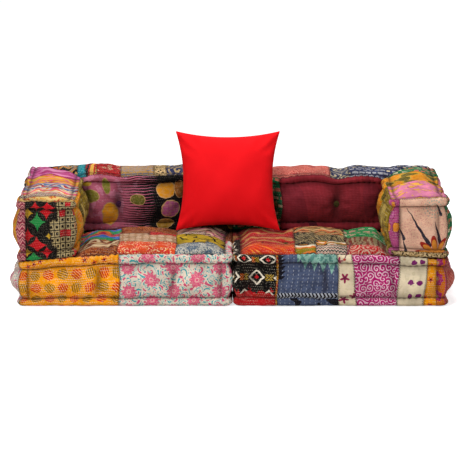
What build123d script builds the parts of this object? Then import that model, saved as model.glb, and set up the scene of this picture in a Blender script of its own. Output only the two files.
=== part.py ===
from build123d import *
import math
import os

# Two-seat floor sofa made of two modular corner seats and one loose scatter cushion.
# Each corner seat is a tufted seat mattress with an arm bolster and a back bolster
# sewn on top of it, mitred into each other at the outer rear corner.
# Sizes are in millimetres. X runs along the sofa, -Y is the front and +Z is up.
# The origin is on the floor, midway between the two modules.
# The right module is built, and the left one is its mirror image.

# Overall sizes
module_width = 684.0
module_depth = 680.0
module_gap = 12.0
seat_height = 160.0
bolster_width = 190.0
bolster_height = 188.0

# Cloth, stitched edges and clearances
cloth = 3.0
fill_clearance = 0.3
corner_radius = 24.0
roll_width = 30.0
roll_height = 22.0
roll_set_in = 8.0
stitch_depth = 7.0
roll_swell = 1.5
flat_sag = 0.4

# How far each wall swells out of the line of its rolled edges
free_swell = 22.0
meeting_swell = 5.2
seat_face_swell = 16.0

# Tufting
tuft_depth = 9.0
cord_radius = 1.6
cord_clearance = 0.3
button_radius = 11.0
button_height = 9.0
button_seat_radius = 5.0
seat_button_lift = 4.6
wall_button_lift = 7.4
cup_radius = 15.0
cup_height = 16.0

# Places of the tufts, as shares of the module's width from its meeting side and as
# shares of its depth from its front
column_shares = (0.247, 0.532, 0.781)
back_column_shares = (0.24, 0.4955)
row_shares = (0.3265, 0.5618, 0.7941)
arm_row_shares = (0.2574, 0.5074)

# Quilted top of the seat and crown of the bolsters
pad_set_in = 27.0
pad_edge = 3.0
pad_gap = 3.5
seat_pad_crest = 26.0
seat_pad_valley = 6.0
bolster_crest = 10.0
crown_run = 90.0
pad_sink = 1.0

# Scatter cushion
cushion_size = 342.0
cushion_thickness = 112.0
cushion_cloth = 1.6
cushion_lean = 10.0
cushion_centre_x = -16.0
cushion_stand_off = 53.6
cushion_lift = 29.0

# Shapes of the swelling walls and of the cushion, as shares of their sizes
wall_height_shares = (0.0, 0.2, 0.5, 0.8, 1.0)
wall_swell_shares = (0.0, 0.72, 1.0, 0.72, 0.0)
cushion_depth_shares = (0.0, 0.2, 0.48, 0.76, 0.94, 1.0)
cushion_half_shares = (1.0, 0.91, 0.79, 0.6, 0.36, 0.2)
cushion_bow_shares = (-0.15, -0.11, -0.06, -0.02, 0.02, 0.03)
cushion_corner_shares = (0.02, 0.05, 0.16, 0.5, 0.8, 0.9)
bay_shares = (0.2, 0.5, 0.8)
seam_rise_share = 0.45
lobe_rise_share = 0.45
crown_run_shares = (0.0, 0.3, 1.0)
crown_rise_shares = (0.0, 0.7, 1.0)
crown_middle_shares = (0.2, 0.4, 0.6, 0.8)
button_rim_share = 0.4
overrun = 2.0

# Places worked out from the sizes above
inner_x = module_gap / 2
outer_x = inner_x + module_width
front_y = -module_depth / 2
rear_y = module_depth / 2
arm_x = outer_x - bolster_width
back_y = rear_y - bolster_width
seat_top = seat_height
bolster_top = seat_top + bolster_height
rear_columns = [inner_x + module_width * share for share in column_shares]
seat_columns = rear_columns[:2]
back_columns = [inner_x + module_width * share for share in back_column_shares]
side_rows = [module_depth * share for share in row_shares]
seat_rows = side_rows[:2]
arm_rows = [module_depth * share for share in arm_row_shares]
cushion_centre_y = back_y - cushion_stand_off

os.makedirs("parts", exist_ok=True)


class Side:
    """One wall of a mattress: how far it swells, and where tuft pinches draw it in."""

    def __init__(self, swell, pinches=()):
        self.swell = swell
        self.pinches = list(pinches)


def arc_through(first, middle, last):
    return Edge.make_three_point_arc(first, middle, last)


def outline(corners, z, set_in, fullness, sides):
    """Closed outline of a mattress at height z. Corners are (x0, x1, y0, y1), sides run
    front, outer, rear, inner, and fullness says how much of each swell and pinch shows."""
    x0, x1, y0, y1 = corners
    walls = (
        (Vector(x0, y0, z), Vector(1, 0, 0), x1 - x0),
        (Vector(x1, y0, z), Vector(0, 1, 0), y1 - y0),
        (Vector(x1, y1, z), Vector(-1, 0, 0), x1 - x0),
        (Vector(x0, y1, z), Vector(0, -1, 0), y1 - y0),
    )
    radius = corner_radius - set_in
    edges = []
    for (start, along, length), side in zip(walls, sides):
        outward = Vector(along.Y, -along.X, 0)
        places = [corner_radius, roll_width]
        places += side.pinches
        places += [length - roll_width, length - corner_radius]
        last = len(places) - 1
        drawn = [0.0, stitch_depth]
        drawn += [tuft_depth] * len(side.pinches)
        drawn += [stitch_depth, 0.0]
        points = [
            start + along * place - outward * (set_in + fullness * depth)
            for place, depth in zip(places, drawn)
        ]
        for index in range(last):
            at_roll = index in (0, last - 1)
            crest = roll_swell if at_roll else side.swell
            depth = (drawn[index] + drawn[index + 1]) / 2
            sag = flat_sag + fullness * (crest + depth)
            if at_roll:
                sag = flat_sag + fullness * crest
            middle = (points[index] + points[index + 1]) / 2 + outward * sag
            edges.append(arc_through(points[index], middle, points[index + 1]))
        centre = start + along * (length - corner_radius) - outward * corner_radius
        turned = points[-1] - centre
        bisector = (outward + along).normalized()
        next_start = centre + along * turned.length
        edges.append(arc_through(points[-1], centre + bisector * radius, next_start))
    return Wire(edges)


def plain_outline(corners, z, set_in):
    """Rectangle with rounded corners at height z, set in from the mattress edges."""
    x0, x1, y0, y1 = corners
    middle = Location(((x0 + x1) / 2, (y0 + y1) / 2, z))
    width, depth = x1 - x0 - 2 * set_in, y1 - y0 - 2 * set_in
    flat = Wire.make_rect(width, depth)
    return flat.fillet_2d(corner_radius - set_in, flat.vertices()).moved(middle)


def slab(corners, bottom, top, set_in):
    """Flat-sided block with rounded corners between two heights."""
    return Solid.extrude(Face(plain_outline(corners, bottom, set_in)), Vector(0, 0, top - bottom))


def rolled_edge(corners, bottom, top, edge_first):
    """Stuffed roll between the open edge of a panel and its line of stitches."""
    depths = [roll_set_in, 0.0, stitch_depth]
    if not edge_first:
        depths.reverse()
    heights = [bottom, (bottom + top) / 2, top]
    return Solid.make_loft([plain_outline(corners, z, d) for z, d in zip(heights, depths)])


def swelling_wall(corners, bottom, top, sides):
    """Wall drawn in at its stitched edges and tufts, and swelling between them."""
    levels = []
    for height_share, fullness in zip(wall_height_shares, wall_swell_shares):
        z = bottom + (top - bottom) * height_share
        levels.append(outline(corners, z, stitch_depth * (1 - fullness), fullness, sides))
    return Solid.make_loft(levels)


def from_other_end(places, length):
    """The same places counted from the other end of a wall."""
    return [length - place for place in reversed(places)]


def seat_pad(corners, base, columns, rows):
    """Quilted pad, crowned between its tufts and lofted along X through its sections."""
    x0, x1, y0, y1 = corners
    rise = seat_pad_crest - seat_pad_valley
    stops = [x0, *columns, x1]
    stations = [(x0, pad_edge, pad_edge, flat_sag)]
    for left, right in zip(stops, stops[1:]):
        low_left = pad_edge if left == x0 else seat_pad_valley
        low_right = pad_edge if right == x1 else seat_pad_valley
        for share in bay_shares:
            arch = math.sin(math.pi * share)
            low = low_left + (low_right - low_left) * share
            tuft = low + rise * seam_rise_share * arch
            top = low + rise * (lobe_rise_share + (1 - lobe_rise_share) * arch)
            stations.append((left + (right - left) * share, tuft, top, 0.0))
        if right != x1:
            tall = seat_pad_valley + rise * lobe_rise_share
            stations.append((right, seat_pad_valley, tall, 0.0))
    stations.append((x1, pad_edge, pad_edge, flat_sag))
    lines = [y0, *rows, y1]
    wires = []
    for x, tuft, top, sag in stations:
        heights = [pad_edge, *([tuft] * len(rows)), pad_edge]
        points = [Vector(x, y, base + height) for y, height in zip(lines, heights)]
        low_front = Vector(x, y0, base - pad_sink)
        low_rear = Vector(x, y1, base - pad_sink)
        edges = [Edge.make_line(low_front, points[0])]
        for first, second in zip(points, points[1:]):
            middle = (first + second) / 2
            edges.append(arc_through(first, Vector(x, middle.Y, base + top + sag), second))
        edges.append(Edge.make_line(points[-1], low_rear))
        edges.append(Edge.make_line(low_rear, low_front))
        wires.append(Wire(edges))
    return Solid.make_loft(wires)


def bolster_crown(start, along, across, length, width):
    """Crowned top of a bolster: an arched section that fades out towards both ends."""
    wires = []
    runs = [crown_run * share for share in crown_run_shares]
    straight = length - 2 * crown_run
    middles = [crown_run + straight * share for share in crown_middle_shares]
    places = runs + middles + from_other_end(runs, length)
    level = [1.0] * len(crown_middle_shares)
    rises = list(crown_rise_shares) + level + list(reversed(crown_rise_shares))
    for place, share in zip(places, rises):
        low = start + along * place - Vector(0, 0, pad_sink)
        edge = Vector(0, 0, pad_sink + pad_edge * share)
        top = Vector(0, 0, pad_sink + pad_edge * share + flat_sag + bolster_crest * share)
        corners = [low, low + edge, low + across * width + edge, low + across * width]
        edges = [
            Edge.make_line(corners[0], corners[1]),
            arc_through(corners[1], low + across * (width / 2) + top, corners[2]),
            Edge.make_line(corners[2], corners[3]),
            Edge.make_line(corners[3], corners[0]),
        ]
        wires.append(Wire(edges))
    return Solid.make_loft(wires)


def cylinder_between(first, last, radius):
    along = last - first
    return Solid.make_cylinder(radius, along.length, Plane(first, z_dir=along))


def covered_button(point, outward):
    """Domed button with a flat seat for its cord, standing on point."""
    rim_height = button_height * button_rim_share
    dome = button_height - rim_height
    sphere = (button_radius**2 + dome**2) / (2 * dome)
    half_turn = math.asin(button_radius / sphere) / 2
    shoulder = Vector(
        sphere * math.sin(half_turn),
        0,
        button_height - sphere + sphere * math.cos(half_turn),
    )
    middle = Vector(0, 0, 0)
    seat = Vector(button_seat_radius, 0, 0)
    rim = Vector(button_radius, 0, rim_height)
    crown = Vector(0, 0, button_height)
    profile = Wire(
        [
            Edge.make_line(middle, seat),
            Edge.make_line(seat, rim),
            arc_through(rim, shoulder, crown),
            Edge.make_line(crown, middle),
        ]
    )
    turned = Solid.revolve(Face(profile), 360.0, Axis.Z)
    return turned.moved(Plane(point, z_dir=outward).location)


class Mattress:
    """Rolled-edge mattress: cover panels, filling, tuft cords and covered buttons."""

    covers = ("base", "low_roll", "wall", "high_roll", "panel", "filling")

    def __init__(self, corners, bottom, top, sides, pad):
        low, high = bottom + cloth, top - cloth
        low_stitch, high_stitch = low + roll_height, high - roll_height
        wall_depth = tuft_depth + cloth
        room = slab(corners, low, high, wall_depth)
        self.base = slab(corners, bottom, low, roll_set_in)
        self.low_roll = rolled_edge(corners, low, low_stitch, True) - room
        self.wall = swelling_wall(corners, low_stitch, high_stitch, sides) - room
        self.high_roll = rolled_edge(corners, high_stitch, high, False) - room
        self.panel = slab(corners, high, top, roll_set_in) + pad
        self.filling = slab(corners, low, high, wall_depth + fill_clearance)
        self.cords, self.buttons = [], []

    def tie(self, first, last, first_out, last_out):
        """Cord through the mattress from first to last, with a button on each end."""
        hole = cylinder_between(first, last, cord_radius + cord_clearance)
        for name in self.covers:
            setattr(self, name, getattr(self, name) - hole)
        self.cords.append(cylinder_between(first, last, cord_radius))
        self.buttons.append(covered_button(first, first_out))
        self.buttons.append(covered_button(last, last_out))

    def cup(self, point):
        """Recess in the base cloth that keeps the lower button clear of the floor."""
        skin = Solid.make_cylinder(cup_radius, cup_height, Plane(point))
        start = point - Vector(0, 0, overrun)
        deep = cup_height - cloth + overrun
        bore = Solid.make_cylinder(cup_radius - cloth, deep, Plane(start))
        wide, tall = cup_radius + fill_clearance, cup_height + fill_clearance
        self.base = self.base + skin - bore
        self.filling = self.filling - Solid.make_cylinder(wide, tall, Plane(point))

    def keep(self, plane):
        for name in self.covers:
            setattr(self, name, getattr(self, name).split(plane, keep=Keep.TOP))


def build_seat():
    corners = (inner_x, outer_x, front_y, rear_y)
    rear_places = [column - inner_x for column in rear_columns]
    sides = (
        Side(free_swell, [column - inner_x for column in seat_columns]),
        Side(free_swell, side_rows),
        Side(free_swell, from_other_end(rear_places, module_width)),
        Side(meeting_swell, from_other_end(side_rows, module_depth)),
    )
    pad_corners = (
        inner_x + pad_set_in,
        arm_x - pad_gap,
        front_y + pad_set_in,
        back_y - pad_gap,
    )
    rows = [front_y + row for row in seat_rows]
    pad = seat_pad(pad_corners, seat_top, seat_columns, rows)
    seat = Mattress(corners, 0.0, seat_top, sides, pad)
    down, up = Vector(0, 0, -1), Vector(0, 0, 1)
    for x in seat_columns:
        for y in rows:
            seat.cup(Vector(x, y, 0))
            low = Vector(x, y, cup_height - cloth)
            high = Vector(x, y, seat_top + seat_pad_valley + seat_button_lift)
            seat.tie(low, high, down, up)
    return seat


def build_arm(mitre):
    places = [*arm_rows, module_depth - bolster_width]
    corners = (arm_x, outer_x, front_y, rear_y)
    sides = (
        Side(seat_face_swell),
        Side(free_swell, places),
        Side(seat_face_swell),
        Side(seat_face_swell, from_other_end(places, module_depth)),
    )
    start = Vector(outer_x - pad_set_in, front_y + pad_set_in, bolster_top)
    length, width = module_depth - 2 * pad_set_in, bolster_width - 2 * pad_set_in
    crown = bolster_crown(start, Vector(0, 1, 0), Vector(-1, 0, 0), length, width)
    arm = Mattress(corners, seat_top, bolster_top, sides, crown)
    arm.keep(mitre)
    z = (seat_top + bolster_top) / 2
    reach = tuft_depth - wall_button_lift
    for row in arm_rows:
        near = Vector(arm_x + reach, front_y + row, z)
        far = Vector(outer_x - reach, front_y + row, z)
        arm.tie(near, far, Vector(-1, 0, 0), Vector(1, 0, 0))
    return arm


def build_back(mitre):
    places = [column - inner_x for column in back_columns]
    places.append(arm_x - inner_x)
    corners = (inner_x, outer_x, back_y, rear_y)
    sides = (
        Side(seat_face_swell, places),
        Side(seat_face_swell),
        Side(free_swell, from_other_end(places, module_width)),
        Side(meeting_swell),
    )
    start = Vector(inner_x + pad_set_in, back_y + pad_set_in, bolster_top)
    length, width = module_width - 2 * pad_set_in, bolster_width - 2 * pad_set_in
    crown = bolster_crown(start, Vector(1, 0, 0), Vector(0, 1, 0), length, width)
    back = Mattress(corners, seat_top, bolster_top, sides, crown)
    back.keep(mitre)
    z = (seat_top + bolster_top) / 2
    reach = tuft_depth - wall_button_lift
    for x in back_columns:
        near = Vector(x, back_y + reach, z)
        far = Vector(x, rear_y - reach, z)
        back.tie(near, far, Vector(0, -1, 0), Vector(0, 1, 0))
    return back


def cushion_level(half, depth, index):
    """Outline of the scatter cushion at a depth from its seam, with drawn-in sides."""
    size = half * cushion_half_shares[index]
    bow = size * cushion_bow_shares[index]
    radius = size * cushion_corner_shares[index]
    edges = []
    for quarter in range(4):
        turn = math.radians(90 * quarter)
        along = Vector(math.cos(turn), 0, math.sin(turn))
        outward = Vector(math.sin(turn), 0, -math.cos(turn))
        origin = Vector(0, -depth, 0)
        line = origin + outward * size
        start = line - along * (size - radius)
        end = line + along * (size - radius)
        edges.append(arc_through(start, line + outward * bow, end))
        centre = end - outward * radius
        bisector = (outward + along).normalized()
        edges.append(arc_through(end, centre + bisector * radius, centre + along * radius))
    return Wire(edges)


def half_cushion(half, thickness):
    """Front half of the scatter cushion, from its seam at Y = 0 to its crown."""
    depth = thickness / 2
    levels = [
        cushion_level(half, depth * share, index)
        for index, share in enumerate(cushion_depth_shares)
    ]
    return Solid.make_loft(levels)


def build_cushion():
    half = cushion_size / 2
    outer = half_cushion(half, cushion_thickness)
    inner = half_cushion(half - 2 * cushion_cloth, cushion_thickness - 2 * cushion_cloth)
    snug = cushion_cloth + fill_clearance
    stuffing = half_cushion(half - 2 * snug, cushion_thickness - 2 * snug)
    front = outer - inner
    lean = math.radians(cushion_lean)
    low = half * math.cos(lean)
    z = seat_top + cushion_lift + low
    place = Location((cushion_centre_x, cushion_centre_y, z), (-cushion_lean, 0, 0))
    pieces = {
        "cushion_front_panel": front,
        "cushion_back_panel": front.mirror(Plane.XZ),
        "cushion_filling": stuffing + stuffing.mirror(Plane.XZ),
    }
    return {name: solid.moved(place) for name, solid in pieces.items()}


def main():
    mitre_point = Vector(arm_x, back_y, 0)
    arm_half = Plane(mitre_point, z_dir=Vector(1, -1, 0))
    back_half = Plane(mitre_point, z_dir=Vector(-1, 1, 0))
    mattresses = {
        "seat": build_seat(),
        "arm": build_arm(arm_half),
        "back": build_back(back_half),
    }
    nodes = {}
    for part, mattress in mattresses.items():
        nodes[f"{part}_base_cloth"] = mattress.base
        nodes[f"{part}_bottom_rolled_edge"] = mattress.low_roll
        nodes[f"{part}_side_band"] = mattress.wall
        nodes[f"{part}_top_rolled_edge"] = mattress.high_roll
        nodes[f"{part}_top_panel"] = mattress.panel
        nodes[f"{part}_filling"] = mattress.filling
        nodes[f"{part}_tuft_cords"] = Compound(mattress.cords)
        nodes[f"{part}_tuft_buttons"] = Compound(mattress.buttons)
    for name, shape in nodes.items():
        export_step(shape, f"parts/right_{name}.step")
        export_step(shape.mirror(Plane.YZ), f"parts/left_{name}.step")
    for name, shape in build_cushion().items():
        export_step(shape, f"parts/{name}.step")


main()
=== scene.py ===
import math

import bpy
import numpy as np
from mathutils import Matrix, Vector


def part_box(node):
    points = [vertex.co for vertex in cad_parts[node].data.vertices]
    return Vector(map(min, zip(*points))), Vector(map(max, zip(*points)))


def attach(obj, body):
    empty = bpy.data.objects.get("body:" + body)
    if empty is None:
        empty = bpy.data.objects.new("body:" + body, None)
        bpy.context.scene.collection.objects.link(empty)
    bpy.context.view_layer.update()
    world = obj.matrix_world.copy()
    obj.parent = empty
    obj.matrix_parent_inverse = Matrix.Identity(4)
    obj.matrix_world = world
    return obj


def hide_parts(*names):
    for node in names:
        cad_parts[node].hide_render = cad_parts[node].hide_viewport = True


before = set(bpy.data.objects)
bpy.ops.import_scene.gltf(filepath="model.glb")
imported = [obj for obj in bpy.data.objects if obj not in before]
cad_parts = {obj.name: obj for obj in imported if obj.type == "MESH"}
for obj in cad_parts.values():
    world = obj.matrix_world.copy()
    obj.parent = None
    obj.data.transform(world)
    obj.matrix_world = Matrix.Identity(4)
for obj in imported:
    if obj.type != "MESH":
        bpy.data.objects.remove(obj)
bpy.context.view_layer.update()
scene = bpy.context.scene
scene.view_settings.view_transform = "Standard"

# Camera, floor and light
# The sofa stands on a white studio floor and is seen from the front, from about nine
# metres away and ten degrees up, under soft even light with a weak shadow at its foot.
picture_px = 460
focal_px = 2806.0
view_distance = 9.33
view_tilt = math.radians(10.0)
view_left = 0.0087
view_rise = 0.188
aim_rise = 0.2
white = (1.0, 1.0, 1.0, 1.0)

camera_data = bpy.data.cameras.new("camera")
camera_data.sensor_width = 36.0
camera_data.lens = focal_px / picture_px * camera_data.sensor_width
camera = bpy.data.objects.new("camera", camera_data)
scene.collection.objects.link(camera)
camera.rotation_euler = (math.pi / 2 - view_tilt, 0.0, 0.0)
camera.location = (
    -view_left,
    -view_distance * math.cos(view_tilt) + view_rise * math.sin(view_tilt),
    view_distance * math.sin(view_tilt) + view_rise * math.cos(view_tilt),
)
scene.camera = camera


def node(tree, kind, inputs=None, **settings):
    """New node with its settings made and its inputs set or linked."""
    made = tree.nodes.new(kind)
    for label, value in settings.items():
        setattr(made, label, value)
    for label, value in (inputs or {}).items():
        if isinstance(value, Strand):
            value.into(made.inputs[label])
        else:
            made.inputs[label].default_value = value
    return made


def worked(operation, turned=False):
    """One step of arithmetic on a strand and other values, in this order or turned."""

    def work(self, *others):
        values = (*others, self) if turned else (self, *others)
        return self.through("ShaderNodeMath", dict(enumerate(values)), operation=operation)

    return work


class Strand:
    """A value, place or colour on its way through a material's nodes. It is added,
    multiplied and compared like a number, and each such step makes one node."""

    def __init__(self, tree, socket):
        self.tree = tree
        self.socket = socket

    def into(self, socket):
        self.tree.links.new(self.socket, socket)

    def through(self, kind, inputs, output=0, **settings):
        return Strand(self.tree, node(self.tree, kind, inputs, **settings).outputs[output])

    __add__, __radd__ = worked("ADD"), worked("ADD", True)
    __sub__, __rsub__ = worked("SUBTRACT"), worked("SUBTRACT", True)
    __mul__, __truediv__, __pow__ = worked("MULTIPLY"), worked("DIVIDE"), worked("POWER")
    __gt__, __lt__, __abs__ = worked("GREATER_THAN"), worked("LESS_THAN"), worked("ABSOLUTE")
    floor, fract, root = worked("FLOOR"), worked("FRACT"), worked("SQRT")
    sine, cosine, bearing = worked("SINE"), worked("COSINE"), worked("ARCTAN2")
    larger, smaller = worked("MAXIMUM"), worked("MINIMUM")


def source(tree, kind, output=0, **settings):
    """Strand that starts at a node of its own."""
    return Strand(tree, node(tree, kind, **settings).outputs[output])


def new_material(name, values):
    """New material, its node tree and its shader, with the shader's values set."""
    material = bpy.data.materials.new(name)
    material.use_nodes = True
    shader = material.node_tree.nodes["Principled BSDF"]
    for label, value in values.items():
        shader.inputs[label].default_value = value
    return material, material.node_tree, shader


bpy.ops.mesh.primitive_plane_add(size=30.0, location=(0.0, 0.0, 0.0))
floor = bpy.context.object
floor.name = "studio_floor"
matt_white = {
    "Base Color": (0.86, 0.86, 0.86, 1.0),
    "Roughness": 0.9,
    "Specular IOR Level": 0.1,
    "Emission Color": white,
}
floor_paint, paint_tree, paint_shader = new_material("floor_white", matt_white)
floor_place = source(paint_tree, "ShaderNodeTexCoord", "Object")
from_sofa = floor_place.through("ShaderNodeVectorMath", {0: floor_place}, "Value", operation="LENGTH")
whiter = {"Value": from_sofa, "From Min": 1.0, "From Max": 3.5, "To Min": 0.66, "To Max": 0.84}
seen = source(paint_tree, "ShaderNodeLightPath", "Is Camera Ray")
lift = seen * from_sofa.through("ShaderNodeMapRange", whiter)
lift.into(paint_shader.inputs["Emission Strength"])
floor.data.materials.append(floor_paint)

world = bpy.data.worlds.new("studio")
scene.world = world
world.use_nodes = True
sky = world.node_tree.nodes["Background"]
sky.inputs["Color"].default_value = white
seen_sky = source(world.node_tree, "ShaderNodeLightPath", "Is Camera Ray")
sky_level = {"Value": seen_sky, "To Min": 0.22, "To Max": 1.0}
seen_sky.through("ShaderNodeMapRange", sky_level).into(sky.inputs["Strength"])

for lamp_name, place, size, power in (
    ("key_softbox", (-1.7, -3.2, 2.6), 1.3, 110.0),
    ("fill_softbox", (2.6, -3.0, 1.6), 2.0, 26.0),
    ("top_softbox", (0.1, 0.3, 3.0), 1.5, 68.0),
):
    lamp_data = bpy.data.lights.new(lamp_name, "AREA")
    lamp_data.shape = "SQUARE"
    lamp_data.size = size
    lamp_data.energy = power
    lamp = bpy.data.objects.new(lamp_name, lamp_data)
    scene.collection.objects.link(lamp)
    lamp.location = place
    aim = np.array((0.0, 0.0, aim_rise)) - np.array(place)
    level = math.hypot(aim[0], aim[1])
    turn = math.atan2(aim[1], aim[0]) - math.pi / 2
    lamp.rotation_euler = (math.atan2(level, -aim[2]), 0.0, turn)


# Seat mattresses
# Each seat is a cotton-filled box mattress. Old printed cottons are pieced together for
# its cover, quilted with rows of running stitch, and every edge is stitched into a roll.
# Cords pull the top down in tufts. First come the cottons, then the sewn mattress.


def dye(code):
    """Linear colour of a hex code as it looks on the cloth."""
    shares = [int(code[i : i + 2], 16) / 255.0 for i in (0, 2, 4)]
    return (*[s / 12.92 if s <= 0.04045 else ((s + 0.055) / 1.055) ** 2.4 for s in shares], 1.0)


def over(mask, under, colour):
    """Colour laid over another where the mask is 1."""
    strand = next(part for part in (mask, under, colour) if isinstance(part, Strand))
    return strand.through("ShaderNodeMix", {0: mask, 6: under, 7: colour}, 2, data_type="RGBA")


def between(value, low, high):
    return (value > low) * (value < high)


def noise(vector, scale, detail=2.0):
    inputs = {"Vector": vector, "Scale": scale, "Detail": detail}
    return vector.through("ShaderNodeTexNoise", inputs)


def split(vector):
    parts = node(vector.tree, "ShaderNodeSeparateXYZ", {0: vector}).outputs
    return [Strand(vector.tree, part) for part in parts]


def join(x, y):
    return x.through("ShaderNodeCombineXYZ", {0: x, 1: y})


def moved(vector, operation, other):
    return vector.through("ShaderNodeVectorMath", {0: vector, 1: other}, operation=operation)


def scaled(vector, scale):
    return vector.through("ShaderNodeVectorMath", {0: vector, "Scale": scale}, operation="SCALE")


def repeat(vector, shift=0.5):
    """Local place in each repeat of a block print, and a chance value for that repeat."""
    across, rise, _ = split(vector)
    row = rise.floor()
    along = across + row * shift
    column = along.floor()
    x = along - column - 0.5
    y = rise - row - 0.5
    return x, y, row.through("ShaderNodeTexWhiteNoise", {"Vector": join(column, row)})


def polar(x, y):
    return (x * x + y * y).root(), y.bearing(x)


def scattered(vector, scale=1.0):
    """Place from the middle of the nearest scattered motif, and that motif's chance."""
    inputs = {"Vector": vector, "Scale": scale}
    cells = node(vector.tree, "ShaderNodeTexVoronoi", inputs, voronoi_dimensions="2D").outputs
    middle = Strand(vector.tree, cells["Position"])
    x, y, _ = split(moved(scaled(vector, scale), "SUBTRACT", scaled(middle, scale)))
    return x, y, split(Strand(vector.tree, cells["Color"]))[0]


def bands(value, *layers):
    """Stack of colours, each laid where the value is above its limit."""
    colour = layers[0]
    for limit, layer in layers[1:]:
        colour = over(value > limit, colour, layer)
    return colour


def ring_dots(vector, ground, motif, accent, fourth):
    x, y, luck = repeat(vector, 0.0)
    radius, _ = polar(x, y)
    parts = split(vector)
    place = parts[0].floor() + parts[1].floor()
    odd = (place * 0.5).fract() > 0.25
    turned = luck * 1.6
    slant = x * turned.cosine() + y * turned.sine()
    striped = (slant * 40.0).sine() > -0.62
    disc = over(striped, accent, over(odd, motif, fourth))
    uneven = radius + noise(vector, 6.0) * 0.08
    speck = noise(vector, 14.0) > 0.58
    colour = over(speck * 0.5, ground, accent)
    return over(uneven < 0.43, colour, disc)


def trailing_flowers(vector, ground, motif, accent, fourth):
    """Rows of round flowers, set between each other's places, among curling leaves."""
    parts = split(vector)
    curl_x, curl_y, _ = scattered(vector, 4.4)
    curl_radius, curl_angle = polar(curl_x, curl_y)
    turns = curl_radius * 8.5 + curl_angle
    scroll = (turns + noise(vector, 5.0) * 6.0).sine()
    leafy = noise(vector, 11.0, 1.0)
    stem = between(scroll, -0.25, 0.75) * (leafy > 0.51)
    colour = over(stem, ground, accent)
    stroke = (scroll < -0.6) * (leafy < 0.49)
    colour = over(stroke, colour, motif)
    leaf = (scroll > 0.82) * (leafy < 0.47)
    colour = over(leaf, colour, fourth)
    speck = noise(vector, 52.0) > 0.56
    bloom = over(speck * 0.5, motif, ground)
    for half in (0.0, 0.5):
        across = (parts[0] + (half - 0.2)).fract()
        rise = (parts[1] / 0.51 + (half - 0.17)).fract()
        x = across - 0.5
        y = (rise - 0.5) * 0.51
        radius, angle = polar(x, y)
        petals = (angle * 11.0).sine() * 0.022
        rough = noise(vector, 14.0) * 0.06
        edge = petals + 0.178 - rough
        colour = over(radius < edge, colour, bloom)
        eye = between(radius, 0.03, 0.05) * 0.45
        colour = over(eye, colour, ground)
    return colour


def curled(vector, ground, motif, accent, fourth):
    x, y, luck = scattered(vector)
    radius, angle = polar(x, y)
    turns = radius * 2.7 + angle / 6.28
    wander = noise(vector, 2.2, 1.0) * 0.7
    share = (turns + luck + wander).fract()
    colour = over(share < 0.36, motif, ground)
    deeper = (noise(vector, 0.8) < 0.46) * 0.45
    return over(deeper, colour, over(share < 0.3, accent, fourth))


def outlined_diamonds(vector, ground, motif, accent, fourth):
    jag = (noise(vector, 4.0, 3.0) - 0.5) * 0.2
    x, y, luck = repeat(vector)
    across, tall = abs(x), abs(y)
    reach = across + tall * 0.85 + jag
    colour = over(between(reach, 0.24, 0.33), ground, accent)
    colour = over(reach < 0.09, colour, motif)
    block = (0.5 - across).larger(tall)
    glyph = (reach * 60.0).sine() > -0.2
    side = (block < 0.16) * glyph
    ink = over(luck > 0.5, fourth, dye("9a7a20"))
    colour = over(side, colour, ink)
    bleed = (noise(vector, 3.4, 3.0) - 0.5) * 1.3
    hem = split(vector)[1] + bleed < 0.74
    return over(hem * 0.93, colour, motif)


def star_diamonds(vector, ground, motif, accent, fourth):
    """Black cloth laid in metres, with stitched four-pointed stars in three dyes."""
    jag = (noise(vector, 130.0, 2.0) - 0.5) * 0.3
    speck = noise(vector, 460.0, 1.0) > 0.64
    colour = over(speck * 0.4, ground, dye("8a7f6a"))
    parts = split(vector)
    stars = (
        (-0.622, 0.284, 0.03, accent),
        (-0.591, 0.313, 0.023, motif),
        (-0.655, 0.241, 0.024, motif),
        (-0.627, 0.211, 0.031, motif),
        (-0.6, 0.182, 0.026, motif),
        (-0.657, 0.184, 0.02, fourth),
        (-0.655, 0.308, 0.02, fourth),
        (-0.638, 0.16, 0.026, accent),
        (-0.624, 0.336, 0.022, motif),
        (-0.581, 0.338, 0.022, motif),
        (-0.588, 0.24, 0.012, fourth),
    )
    for x, y, size, ink in stars:
        off_x = abs((parts[0] - x) / size)
        off_y = abs((parts[1] - y) / size)
        across, tall = off_x ** 0.64, off_y ** 0.64
        reach = across + tall + jag
        colour = over(reach < 1.0, colour, ink)
    return colour


def framed_squares(vector, ground, motif, accent, fourth):
    x, y, luck = repeat(vector, 0.0)
    jag = (noise(vector, 3.0) - 0.5) * 0.12
    reach = abs(x).larger(abs(y)) + jag
    colour = over(reach < 0.42, ground, accent)
    colour = over(between(reach, 0.2, 0.26), colour, motif)
    colour = over(reach < 0.19, colour, ground)
    return over(luck > 0.86, colour, fourth)


def wavy_bands(vector, ground, motif, accent, fourth):
    parts = split(vector)
    wave = (parts[0] * 5.1).sine() * 0.16
    drift = noise(vector, 1.1, 1.0) * 1.2
    share = (parts[1] + wave + drift).fract()
    edge = noise(vector, 12.0, 2.0) * 0.08
    share = share + edge
    return bands(share, ground, (0.32, motif), (0.5, accent), (0.74, fourth), (0.92, motif))


def zigzag(vector, ground, motif, accent, fourth):
    parts = split(vector)
    jag = noise(vector, 2.5, 2.0) * 0.3
    tent = abs(parts[0].fract() - 0.5)
    share = (parts[1] + tent + jag).fract()
    return bands(share, ground, (0.4, accent), (0.55, motif), (0.7, fourth), (0.85, accent))


def drawn_streaks(vector, ground, motif, accent, fourth):
    parts = split(vector)
    thin = join(parts[0] * 0.3, parts[1] * 3.6)
    value = noise(thin, 2.6, 3.0)
    return bands(value, ground, (0.52, motif), (0.62, accent), (0.68, fourth))


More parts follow.
